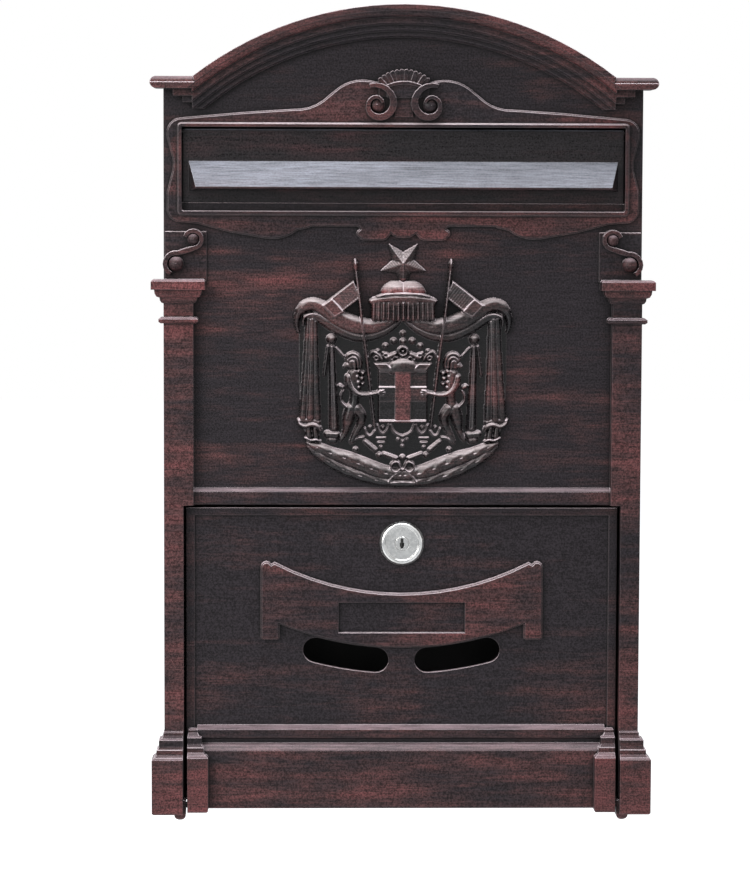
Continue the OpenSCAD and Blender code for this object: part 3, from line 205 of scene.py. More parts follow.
def patina(name, tones, face, red_base, raise_gain, rough, specular, bevel, painted_glint_gain, sky, painted_sheen_tone,
           ground=None, arch=None, blush=()):
    """Antique lacquer: near black, dry-brushed sideways with red-brown, with painted highlights along its
    upper edges.

    tones are black, brown, red and painted edge highlight colours. face holds the depths at which a surface
    counts as ground and as proud, which is redder. ground holds the depths between which the painted shade on
    a sunk ground fades out.
    blush lists redder bands as half width, low, top and gain. Upward faces get a painted sky sheen, crevices
    painted shade.
    """
    black, brown, red, painted_glint_tone = tones
    mat, g, bsdf = new_material(name)
    co = g.node("ShaderNodeTexCoord").outputs["Object"]
    split = g.node("ShaderNodeSeparateXYZ", None, Vector=co)
    x, z = split.outputs["X"], split.outputs["Z"]
    depth = g.math("MULTIPLY", split.outputs["Y"], -1.0)
    streak = g.noise(g.stretched(co, (15.0, 15.0, 150.0)), 1.0, 8.0, 0.66, 0.5)
    hair = g.noise(g.stretched(co, (75.0, 75.0, 1500.0), (3.1, 0.0, 7.7)), 1.0, 4.0, 0.62)
    patch = g.noise(g.stretched(co, (9.0, 9.0, 26.0), (1.7, 0.0, 4.2)), 1.0, 3.0, 0.5, 0.6)
    grain = g.noise(co, 1100.0, 3.0, 0.75)
    cloud = g.noise(co, 70.0, 4.0, 0.65)
    proud = g.ramp(depth, face[0] * MM, face[1] * MM)
    high = g.ramp(depth, (face[1] + 2.5) * MM, (face[1] + 12.0) * MM)
    # occlusion over 7 mm and 2.2 mm: it places the painted shade in crevices, dims the painted sheen and
    # highlights, and keeps the red out of hollows
    wide, near = shaded(g, 0.007), shaded(g, 0.0022)

    wipe = g.math("ADD", g.math("MULTIPLY", streak, 0.75), g.math("MULTIPLY", patch, 0.75))
    for share, gain in ((hair, 0.16), (cloud, 0.25), (proud, raise_gain), (high, 0.20)):
        wipe = g.math("ADD", wipe, g.math("MULTIPLY", share, gain))
    wipe = g.math("ADD", wipe, red_base)
    if arch:
        wipe = g.math("SUBTRACT", wipe, g.math("MULTIPLY", cornice_mask(g, x, z, proud, arch), arch[3]))
    for half, low, top, gain in blush:
        wipe = g.math("ADD", wipe, g.math("MULTIPLY", band_mask(g, x, z, half, low, top), gain))

    red_mask = g.math("MULTIPLY", g.ramp(wipe, 1.02, 1.42), g.ramp(wide, 0.3, 0.9))
    tone = g.mix(g.ramp(wipe, 0.86, 1.22), rgb(*black), rgb(*brown))
    tone = g.mix(red_mask, tone, rgb(*red))
    speck = g.math("ADD", g.ramp(grain, 0.38, 0.62, -0.5, 0.7), g.ramp(hair, 0.3, 0.7, 0.72, 1.24))
    grey = g.node("ShaderNodeCombineColor", None, Red=speck, Green=speck, Blue=speck)
    tone = g.mix(1.0, tone, grey, "MULTIPLY")
    # painted shade: crevices darkened by occlusion, the narrowest darker still, and the badge's sunk ground
    # darkened by depth
    tone = g.mix(g.ramp(wide, 0.2, 0.85, 0.7, 0.0), tone, rgb(*CREVICE_SHADE))
    tone = g.mix(g.ramp(near, 0.35, 0.85, 0.85, 0.0), tone, rgb(*DEEP_CREVICE_SHADE))
    if ground:
        tone = g.mix(g.ramp(depth, ground[0] * MM, ground[1] * MM, 0.8, 0.0), tone, rgb(*SUNK_GROUND_SHADE))

    soft = g.node("ShaderNodeBevel", {"samples": 6}, Radius=bevel)
    props = {"vector_type": "NORMAL", "convert_from": "WORLD", "convert_to": "OBJECT"}
    own_normal = g.node("ShaderNodeVectorTransform", props, Vector=soft.outputs[0])
    up = g.node("ShaderNodeSeparateXYZ", None, Vector=own_normal.outputs[0]).outputs["Z"]
    # painted sky reflection: a pale sheen mixed into the colour where the rounded normal faces up
    glow = sky_glow(g, up, near, hair, grain, patch)
    tone = g.mix(g.math("MULTIPLY", glow, sky, clamp=True), tone, rgb(*painted_sheen_tone))
    # painted highlight: a pale glint mixed into the colour along edges, most of all the upper ones
    tone = g.mix(worn_edge(g, soft, up, near, hair, painted_glint_gain), tone, rgb(*painted_glint_tone))
    g.put(bsdf, "Base Color", tone)

    dull = g.math("ADD", g.math("MULTIPLY", grain, 0.16), rough - 0.15)
    g.put(bsdf, "Roughness", g.math("ADD", g.math("MULTIPLY", hair, 0.14), dull))
    bsdf.inputs["Specular IOR Level"].default_value = specular
    marks = g.math("ADD", hair, g.math("MULTIPLY", grain, 0.8))
    bump = g.node("ShaderNodeBump", None, Strength=0.3, Distance=0.00012, Height=marks, Normal=soft)
    g.put(bsdf, "Normal", bump.outputs[0])
    return mat


def sheet_paint(name):
    mat, g, bsdf = new_material(name)
    co = g.node("ShaderNodeTexCoord").outputs["Object"]
    peel = g.noise(co, 900.0, 2.0, 0.5)
    cloud = g.noise(co, 22.0, 4.0, 0.6)
    scuff = g.noise(g.stretched(co, (30.0, 30.0, 700.0)), 1.0, 3.0, 0.6)
    tone = g.mix(g.ramp(cloud, 0.35, 0.7), rgb(0.012, 0.0115, 0.012), rgb(0.02, 0.0185, 0.019))
    tone = g.mix(g.ramp(scuff, 0.66, 0.8, 0.0, 0.35), tone, rgb(0.035, 0.03, 0.03))
    g.put(bsdf, "Base Color", tone)
    g.put(bsdf, "Roughness", g.ramp(peel, 0.3, 0.7, 0.42, 0.55))
    bsdf.inputs["Specular IOR Level"].default_value = 0.3
    soft = g.node("ShaderNodeBevel", {"samples": 4}, Radius=0.0006)
    bump = g.node("ShaderNodeBump", None, Strength=0.3, Distance=0.0001, Height=peel, Normal=soft.outputs[0])
    g.put(bsdf, "Normal", bump.outputs[0])
    return mat


def metal(name, light, dark, rough, grain, bevel=0.0004, ring=None):
    """Plated or bare metal, with painted shade in its recesses. grain is the stretch of its scratches. ring
    darkens the middle of the lock.
    """
    mat, g, bsdf = new_material(name)
    co = g.node("ShaderNodeTexCoord").outputs["Object"]
    scratch = g.noise(g.stretched(co, grain), 1.0, 4.0, 0.6)
    cloud = g.noise(co, 160.0, 3.0, 0.55)
    ao = g.node("ShaderNodeAmbientOcclusion", {"samples": 6}, Distance=0.003).outputs["AO"]
    tone = g.mix(g.ramp(cloud, 0.3, 0.7), rgb(*dark), rgb(*light))
    if ring:
        split = g.node("ShaderNodeSeparateXYZ", None, Vector=co)
        dx = g.math("POWER", split.outputs["X"], 2.0)
        dz = g.math("POWER", g.math("SUBTRACT", split.outputs["Z"], ring[0]), 2.0)
        radius = g.math("SQRT", g.math("ADD", dx, dz))
        tone = g.mix(g.ramp(radius, ring[1], ring[2], 0.55, 0.0), tone, rgb(*dark))
    # painted shade: darker where the surroundings close in within 3 mm
    tone = g.mix(g.ramp(ao, 0.2, 0.9, 0.8, 0.0), tone, rgb(0.03, 0.03, 0.03))
    g.put(bsdf, "Base Color", tone)
    bsdf.inputs["Metallic"].default_value = 1.0
    g.put(bsdf, "Roughness", g.ramp(scratch, 0.3, 0.75, rough, rough + 0.16))
    soft = g.node("ShaderNodeBevel", {"samples": 4}, Radius=bevel)
    bump = g.node("ShaderNodeBump", None, Strength=0.15, Distance=0.00005, Height=scratch, Normal=soft)
    g.put(bsdf, "Normal", bump.outputs[0])
    return mat


BLACK, BROWN, RED = (0.0150, 0.0122, 0.0145), (0.052, 0.0250, 0.0245), (0.110, 0.036, 0.037)
# GLINT, and the last colour of BADGE_TONES and FLAP_TONES, are painted edge highlight colours
GLINT = (0.74, 0.62, 0.65)
TONES = (BLACK, BROWN, RED, GLINT)
# colours of the painted sky sheen on what faces up
PAINTED_PINK_SHEEN, PAINTED_BADGE_SHEEN, PAINTED_BLUE_SHEEN = (0.34, 0.25, 0.27), (0.46, 0.39, 0.39), (0.29, 0.30, 0.35)
BADGE_TONES = ((0.010, 0.009, 0.010), BROWN, RED, GLINT)
FLAP_TONES = ((0.0120, 0.0105, 0.0115), (0.026, 0.014, 0.015), (0.060, 0.024, 0.026), (0.60, 0.58, 0.62))
BONNET_BAND, CROSS_BAND = (11.5, 56.0, 63.5, 0.4), (4.0, -9.5, 16.5, 0.22)
# Height of the lock, and the radii between which its darker middle fades, in metres
LOCK_RING = (-0.0717, 0.0082, 0.0088)

# the casting, door, badge and flap materials mix painted shade, a painted sky sheen and painted edge
# highlights into their patina
FINISH = {
    "casting": patina("casting_patina_and_painted_light", TONES, (70.4, 73.2), -0.03, 0.14, 0.40, 0.17, 0.0006, 1.15,
                      0.6, PAINTED_PINK_SHEEN, arch=CORNICE),
    "door_casting": patina("door_patina_and_painted_light", TONES, (69.0, 71.4), -0.08, 0.19, 0.40, 0.17, 0.0006, 1.15,
                           0.6, PAINTED_PINK_SHEEN),
    "badge": patina("badge_patina_and_painted_light", BADGE_TONES, (71.5, 77.0), -0.04, 0.16, 0.26, 0.30, 0.0004, 1.0,
                    1.0, PAINTED_BADGE_SHEEN, ground=(70.4, 72.8), blush=(BONNET_BAND, CROSS_BAND)),
    "flap": patina("flap_paint_and_painted_light", FLAP_TONES, (70.4, 73.6), -0.02, 0.0, 0.30, 0.17, 0.0004, 0.9,
                   0.85, PAINTED_BLUE_SHEEN),
    "sheet": sheet_paint("sheet_paint"),
    "lock_chrome": metal("lock_chrome", (0.86, 0.86, 0.85), (0.62, 0.62, 0.61), 0.14, (900.0, 900.0, 900.0),
                         ring=LOCK_RING),
    "zinc": metal("zinc_plate", (0.66, 0.66, 0.64), (0.50, 0.50, 0.49), 0.30, (300.0, 300.0, 1200.0)),
    "pin_steel": metal("pin_steel", (0.10, 0.095, 0.092), (0.06, 0.057, 0.055), 0.38, (2000.0, 300.0, 300.0)),
    "rivet": metal("rivet_dark", (0.16, 0.155, 0.155), (0.10, 0.10, 0.10), 0.36, (700.0, 700.0, 700.0)),
}

SLOT_NODES = {
    "casting": ("front_casting", "door_casting"),
    "badge": ("crest",),
    "flap": ("flap",),
    "sheet": ("back_plate", "side_wrap", "bottom_plate"),
    "lock_chrome": ("lock_body", "lock_plug"),
    "zinc": ("front_screws", "crest_nuts", "lock_washer", "lock_nut", "lock_cam", "cam_washer", "cam_screw"),
    "pin_steel": ("flap_pin_left", "flap_pin_right", "door_pin_left", "door_pin_right"),
    "rivet": ("body_rivets",),
}


def dress():
    for slot, names in SLOT_NODES.items():
        for name in names:
            obj = nodes[name]
            obj.data.materials.clear()
            obj.data.materials.append(FINISH.get(name, FINISH[slot]))


# Badge relief. A limb is drawn through places (x, height over the badge's middle, half width, rise), in mm.
# Rises are over the face of the panel. The left half is drawn and mirrored. The places were chosen one by one.
# Scratch scripts turned some of them from the photo's pixels into mm and wrote the tables, as report.md says.
CELL = 0.34  # spacing of the relief's points
BADGE_H = 222.0  # height of the badge's middle over the underside of the base blocks
HALF_W, FOOT_V, HEAD_V = 56.1, -56.5, 73.0
SUNK = -0.7  # how far the relief's back lies inside the panel
WEB_T = 0.3  # rise of the thin web that fills the badge's outline
WEB_LEFT = [
    (0.3, 50.7), (-11.4, 43.6), (-16, 42), (-16.5, 30.3), (-26.1, 31.4), (-35.7, 35.9), (-45.8, 39.5),
    (-51.9, 35.9), (-52.9, 31.4), (-52.6, -19.6), (-49.9, -26.7), (-47.9, -34.3), (-41.3, -39.4),
    (-33.7, -44.5), (-24.6, -48.6), (-16, -51.7), (-7.3, -53.4), (0.3, -53.9),
]
STYLES = {
    "bead": {},
    "ball": {},
    "soft": {},
    "cord": {},
    "body": {"flat": 2.4},
    "roll": {"folds": 0.22, "fold_len": 9.0, "flat": 2.6},
    "fold": {"flat": 2.2},
    "pleat": {"flutes": 1, "depth": 0.25, "flat": 2.4},
    "furled": {"flutes": 3, "depth": 0.5, "flat": 2.6},
    "drape": {"folds": 0.5, "fold_len": 7.5, "flat": 2.4},
    "drape2": {"folds": 0.4, "fold_len": 9.0, "phase": 1.2, "flat": 2.4},
    "bonnet": {"flat": 2.6},
    "rim": {"flat": 3.0},
}
LIMBS = {
    "pole": [
        ("ball", [(-36.2, 20.7, 2.7, 5)]),
        ("furled", [(-36.1, 16.6, 1.3, 3.2), (-34.9, -24.1, 2.7, 4.2)]),
        ("soft", [(-38, 17.1, 0.7, 2.2), (-39.9, 2.3, 0.8, 2)]),
        ("ball", [(-38.2, -27.7, 2, 4), (-33.7, -28, 2, 4)]),
        ("soft", [(-36.7, -30.8, 1.6, 3), (-34.7, -31, 1.6, 3)]),
        ("cord", [(-33.9, 16.3, 0.5, 2.2), (-29.9, 12, 0.5, 2.2)]),
    ],
    "spear": [
        ("cord", [
            (-24, 55.8, 0.8, 4), (-21.5, 35.4, 0.8, 7.8), (-20.3, 25.2, 0.8, 7.8), (-18.7, 14, 0.8, 6),
            (-14.3, -23.6, 0.7, 4.6),
        ]),
        ("ball", [(-24.4, 61.1, 0.5, 3), (-24.2, 58.3, 1.4, 4.6), (-23.9, 54.8, 0.6, 3.6)]),
    ],
    "crown": [
        ("bead", [(-4.7, 19.8, 1.7, 4.6)]),
        ("bead", [(-8.8, 17.4, 1.5, 4.2)]),
        ("bead", [(-12.7, 14.8, 1.1, 3.4)]),
        ("bead", [(-7.8, 11.5, 1.3, 4.2), (-4, 13.3, 1.1, 4.4)]),
        ("bead", [
            (-17.5, 11.5, 0.8, 3), (-15.4, 14.3, 0.8, 3.2), (-12.4, 13, 0.8, 3.4),
            (-10.6, 10.5, 0.8, 3.4),
        ]),
        ("bead", [(-9.9, 13.8, 0.7, 3.4), (-7.1, 12.2, 0.7, 3.6), (-5.8, 10, 0.7, 3.6)]),
    ],
    "chain": [
        ("bead", [(-6.1, -22.4, 0.6, 3), (-4.3, -26.4, 0.6, 3), (0, -28.7, 0.6, 3.2)]),
        ("bead", [
            (-12.9, -22.9, 0.6, 2.8), (-11.4, -26.2, 0.6, 2.8), (-9.4, -27.1, 0.6, 2.8),
            (-7.5, -24.7, 0.6, 2.8), (-6.8, -22.4, 0.6, 2.8),
        ]),
        ("bead", [
            (-19.2, -24.7, 0.6, 2.8), (-18, -27.7, 0.6, 2.8), (-15.9, -28.2, 0.6, 2.8),
            (-13.9, -25.7, 0.6, 2.8),
        ]),
        ("bead", [(-10.1, -24.1, 1, 3.2)]),
        ("bead", [(-16.5, -24.1, 1, 3)]),
        ("bead", [(-2.1, -30.2, 0.9, 2.8)]),
        ("bead", [(-12.9, -29.5, 0.5, 2.6), (-8.9, -29.5, 0.5, 2.6)]),
        ("bead", [(-12.4, -31.8, 0.5, 2.6), (-9.4, -31.8, 0.5, 2.6)]),
        ("bead", [(-10.9, -34.1, 0.8, 2.8)]),
        ("bead", [(-19, -31.3, 1.1, 3.6), (-13.9, -35.6, 1.3, 4)]),
        ("bead", [(-11.9, -38.2, 1.5, 4.4)]),
        ("bead", [(-9.4, -37.6, 1, 3.6), (-3.3, -39.9, 1.1, 3.8)]),
        ("bead", [(-23.8, -35.4, 1.4, 3.8)]),
        ("bead", [(-26.1, -32.3, 0.7, 3), (-23.1, -29.8, 0.7, 3), (-20, -29.2, 0.7, 3)]),
    ],
    "bow": [
        ("cord", [
            (-0.8, -45, 0.7, 4.8), (-2.5, -41.7, 0.7, 5), (-5.3, -42.5, 0.7, 5), (-5.6, -45.3, 0.7, 5),
            (-3.3, -46.8, 0.7, 5), (-0.8, -45, 0.7, 4.8),
        ]),
        ("cord", [(-1.3, -46.6, 0.7, 4.8), (-5.1, -49.1, 0.7, 5), (-7.1, -52.2, 0.7, 4.8)]),
        ("cord", [(-6.1, -52.4, 0.7, 4.6), (0, -51.9, 0.7, 4.8)]),
    ],
    "middle": [
        ("bead", [(0, 23.7, 1.5, 4.2)]),
        ("bead", [(0, 19.6, 1.6, 4.8)]),
        ("bead", [(0, 14.7, 0.9, 4.4)]),
        ("bead", [(0, -31.3, 1, 3)]),
        ("bead", [(0, -33.6, 0.8, 2.8)]),
        ("bead", [(0, -39.4, 1.4, 4.6)]),
        ("bead", [(0, -45.5, 1.2, 5.2)]),
    ],
    "mantle": [
        ("roll", [
            (-52.2, 35.2, 2.6, 4.8), (-49.6, 37.6, 3.2, 5.6), (-45.5, 38.4, 3.5, 6.2),
            (-41, 36.6, 3.9, 6.5), (-35.7, 33.1, 4.5, 6.7), (-29.1, 29.7, 4.9, 6.8),
            (-22.5, 27.5, 4.8, 6.8), (-15.5, 27.1, 4, 6.4), (-9.4, 28.5, 3, 5.6), (-4, 31, 1.6, 4.4),
            (-1.2, 32.6, 0.8, 3.6),
        ]),
        ("soft", [
            (-52.5, 35, 2.2, 4.6), (-53.8, 31.3, 1.8, 4), (-53.9, 27.6, 1.3, 3.2), (-53, 24.6, 0.8, 2.4),
        ]),
        ("fold", [
            (-49.8, 32.3, 1.4, 4.2), (-46.6, 32.8, 1.9, 4.6), (-41.6, 30.8, 2.4, 4.6),
            (-35.6, 26.9, 2.5, 4.6), (-29.4, 23.7, 2.4, 4.6), (-22.8, 21.7, 2.3, 4.5),
            (-15.8, 22.1, 2.1, 4.3), (-9.4, 24.4, 1.8, 4), (-4.4, 27.4, 1.3, 3.6), (-1, 30.4, 0.8, 3),
        ]),
        ("cord", [
            (-50.6, 28.2, 0.7, 3.6), (-50.2, 31.6, 0.8, 4.8), (-46.8, 33.4, 0.8, 5.6),
            (-43, 33, 0.7, 5.6), (-38, 29.9, 0.6, 5.2),
        ]),
    ],
    "curtain": [
        ("pleat", [(-47.9, 30.6, 1.5, 4), (-49, 5, 1.9, 4.4), (-50.6, -19.4, 2.2, 4.6)]),
        ("pleat", [(-45.9, 30.6, 1.4, 5), (-46.4, 5, 1.9, 5.4), (-47, -19.6, 2.3, 5.8)]),
        ("pleat", [(-44.5, 29.6, 1.1, 4.2), (-44.1, 5, 1.5, 4.4), (-43.5, -19.2, 2, 4.6)]),
        ("soft", [
            (-53, -20.2, 0.9, 4.4), (-52.2, -22.4, 1.2, 5.2), (-49.4, -23.6, 1.4, 5.6),
            (-46, -22.6, 1.4, 6), (-43, -23.6, 1.2, 5.6), (-41.8, -25.6, 0.9, 4.6),
        ]),
        ("soft", [(-51.6, -20.6, 1.4, 4), (-47, -20.8, 2, 4.4), (-43, -21.6, 1.5, 4)]),
        ("pleat", [(-47.8, -24.6, 1.4, 4), (-47.6, -28.8, 1.9, 4.6)]),
        ("pleat", [(-44.6, -25, 1.5, 4.2), (-44, -29.6, 1.8, 4.6)]),
        ("cord", [
            (-49.6, -29.4, 0.7, 4.4), (-46.6, -30.6, 0.7, 5), (-43.9, -30.4, 0.7, 5.2),
            (-41.9, -31.2, 0.6, 4.4),
        ]),
    ],
    "lion": [
        ("body", [
            (-25.1, 2.8, 3, 5), (-24.3, -4.4, 2.6, 5), (-24.6, -10.4, 2.4, 4.8), (-25.4, -14.6, 3, 5.2),
        ]),
        ("body", [(-25.9, 9.6, 3.2, 5.2), (-26.4, 7.4, 2.4, 5)]),
        ("soft", [(-28.2, 7.7, 1.5, 4.8), (-29.5, 6.7, 0.9, 4.2)]),
        ("cord", [
            (-28.7, 10.4, 0.7, 4.6), (-27.8, 12.7, 0.9, 5.4), (-25.2, 13.6, 1, 5.8),
            (-22.8, 12.2, 1, 5.4), (-21.5, 9.2, 0.9, 4.8), (-21.7, 6.4, 0.8, 4.4),
        ]),
        ("cord", [
            (-28.2, 9.8, 0.6, 5.4), (-26.6, 11.5, 0.8, 6.2), (-24.6, 11.7, 0.9, 6.6),
            (-23.1, 9.7, 0.8, 6.2), (-22.9, 6.6, 0.8, 5.4),
        ]),
        ("cord", [
            (-27.2, 9, 0.5, 5.8), (-25.8, 9.9, 0.7, 6.6), (-24.6, 9, 0.7, 6.6), (-24.4, 6.2, 0.7, 5.8),
        ]),
        ("ball", [(-22.6, 4.5, 1.4, 5.6)]),
        ("ball", [(-20.4, 3.5, 1.3, 5)]),
        ("ball", [(-23.1, 1.9, 1.2, 5.6)]),
        ("ball", [(-20.9, 0.9, 1.4, 5.2)]),
        ("ball", [(-22.5, -1, 1.3, 5.4)]),
        ("ball", [(-20.5, -1.9, 1.1, 4.8)]),
        ("ball", [(-22.3, -3.6, 1.2, 5)]),
        ("ball", [(-24.3, 4.6, 1.1, 5.6)]),
        ("soft", [
            (-27.9, 1.6, 1.6, 5.6), (-27.4, -1.6, 2, 6.2), (-25.4, -4.9, 1.7, 6.6), (-22.2, -7, 1.3, 6.4),
            (-18.4, -7.4, 1.1, 6.2), (-14.4, -6.7, 1, 6.2), (-12, -6.2, 1.1, 6.4),
        ]),
        ("cord", [(-12.2, -5.6, 0.6, 6.6), (-9.8, -5.1, 0.55, 6.4)]),
        ("cord", [(-12.2, -6.3, 0.6, 6.8), (-9.3, -6.2, 0.55, 6.6)]),
        ("cord", [(-12.2, -7, 0.6, 6.6), (-9.8, -7.4, 0.55, 6.4)]),
        ("soft", [(-31.8, -3.1, 1.3, 4.6), (-30.6, -3.8, 1, 4.2)]),
        ("body", [
            (-26.4, -14.8, 3.1, 5.6), (-27.6, -19.4, 3, 5.4), (-28.4, -23.4, 2.1, 4.8),
            (-29.4, -27, 1.5, 4.2), (-31.2, -30.2, 1.2, 3.8),
        ]),
        ("body", [
            (-23.4, -14.8, 2.8, 5.4), (-20.9, -18.4, 2.4, 5.2), (-21.6, -22.6, 2, 4.6),
            (-24, -27, 1.5, 4), (-26, -31.5, 1.2, 3.6),
        ]),
        ("cord", [
            (-28.4, -13.8, 0.8, 3.6), (-31, -11.2, 0.7, 3.4), (-31.4, -8, 0.65, 3.4),
            (-30.2, -5.4, 0.7, 3.6),
        ]),
    ],
    "shell": [
        ("bonnet", [(-5.2, 5.6, 3.3, 4.9), (-3.4, 6.6, 4, 5.8), (0, 7, 4.6, 6.6), (1, 7, 4.6, 6.6)]),
    ],
    "shield": [
        ("cord", [(-11.6, -20.9, 0.75, 5.4), (0.6, -20.9, 0.75, 5.4)]),
        ("cord", [(-11.9, 4.5, 0.55, 4.7), (-6, 4.6, 0.55, 4.7)]),
    ],
    "crown scrolls": [
        ("cord", [
            (-9.9, 12.5, 0.55, 3.6), (-8.6, 13.6, 0.55, 3.8), (-7.4, 12.6, 0.55, 3.9),
            (-8.4, 11.2, 0.55, 3.8), (-9.9, 12.5, 0.55, 3.6),
        ]),
        ("cord", [
            (-14.8, 11.3, 0.5, 3.2), (-13.6, 12.3, 0.5, 3.4), (-12.4, 11.2, 0.5, 3.4),
            (-13.5, 10.1, 0.5, 3.4), (-14.8, 11.3, 0.5, 3.2),
        ]),
        ("cord", [(-5.4, 10.4, 0.5, 3.8), (-4.2, 11.8, 0.5, 4), (-2.8, 11.4, 0.5, 4.2)]),
    ],
    "bonnet": [
        ("bonnet", [(-3.9, 42.6, 8, 8)]),
        ("rim", [(-16, 40, 1.5, 6.8), (-11.4, 40.9, 1.8, 8.2), (-5, 41.5, 2, 8.9), (1.5, 41.7, 2, 9)]),
        ("cord", [(-13.2, 42.5, 0.6, 7.8), (-8, 43.6, 0.7, 9), (1.5, 44, 0.7, 9.4)]),
    ],
    "cloth": [
        ("drape", [
            (-47.8, -32.6, 1.4, 3.4), (-42.5, -34.8, 2.7, 4.8), (-35.9, -37.6, 3.1, 4.2),
            (-28.8, -40, 3.7, 5.2), (-21.2, -43, 4, 4.4), (-13.6, -46, 4, 5), (-6.5, -47.9, 3.6, 4.2),
            (1.5, -48.6, 3.2, 4.4),
        ]),
        ("drape2", [
            (-48.2, -33.8, 1, 2.6), (-42.2, -38.6, 2.1, 3.8), (-34.2, -43.6, 2.5, 3.4),
            (-25, -47.6, 2.7, 4), (-16.2, -50.4, 2.5, 3.4), (-7.6, -52, 2.2, 3.8), (1.5, -52.6, 2, 3.6),
        ]),
    ],
}
# Flat sheets: corners, spacing of their ribs, rise of their rim
PANES = [
    ([(-25.1, 50.2, 0, 4.4), (-40.9, 38, 0, 6.8), (-35, 31.9, 0, 7.6), (-21.8, 41.8, 0, 5)],
     1.3, 0.35),
    ([(-40.7, 37.9, 0, 7.5), (-34.9, 32, 0, 8.3), (-30.1, 34.9, 0, 7.7), (-36, 41.3, 0, 7.1)],
     0, 0.3),
    ([(-14.4, 8.4, 0, 4.8), (-8.1, 8.4, 0, 4.8), (-5.1, 5.1, 0, 5), (-11.9, 5.1, 0, 5)],
     0, 0.35),
]


def smooth(path, step=0.7):
    """A limb's places with soft bends between them."""
    p = np.array(path, float)
    if len(p) < 3:
        return p
    ext = np.vstack([2 * p[0] - p[1], p, 2 * p[-1] - p[-2]])
    out = []
    for i in range(1, len(ext) - 2):
        a, b, c, d = ext[i - 1:i + 3]
        n = max(2, int(np.hypot(*(c - b)[:2]) / step))
        for t in np.arange(n) / n:
            square, cube = 2 * a - 5 * b + 4 * c - d, 3 * b - a - 3 * c + d
            out.append(0.5 * (2 * b + (c - a) * t + square * t * t + cube * t ** 3))
    out = np.array(out + [p[-1]])
    out[:, 2:] = np.maximum(out[:, 2:], 0.25)
    return out


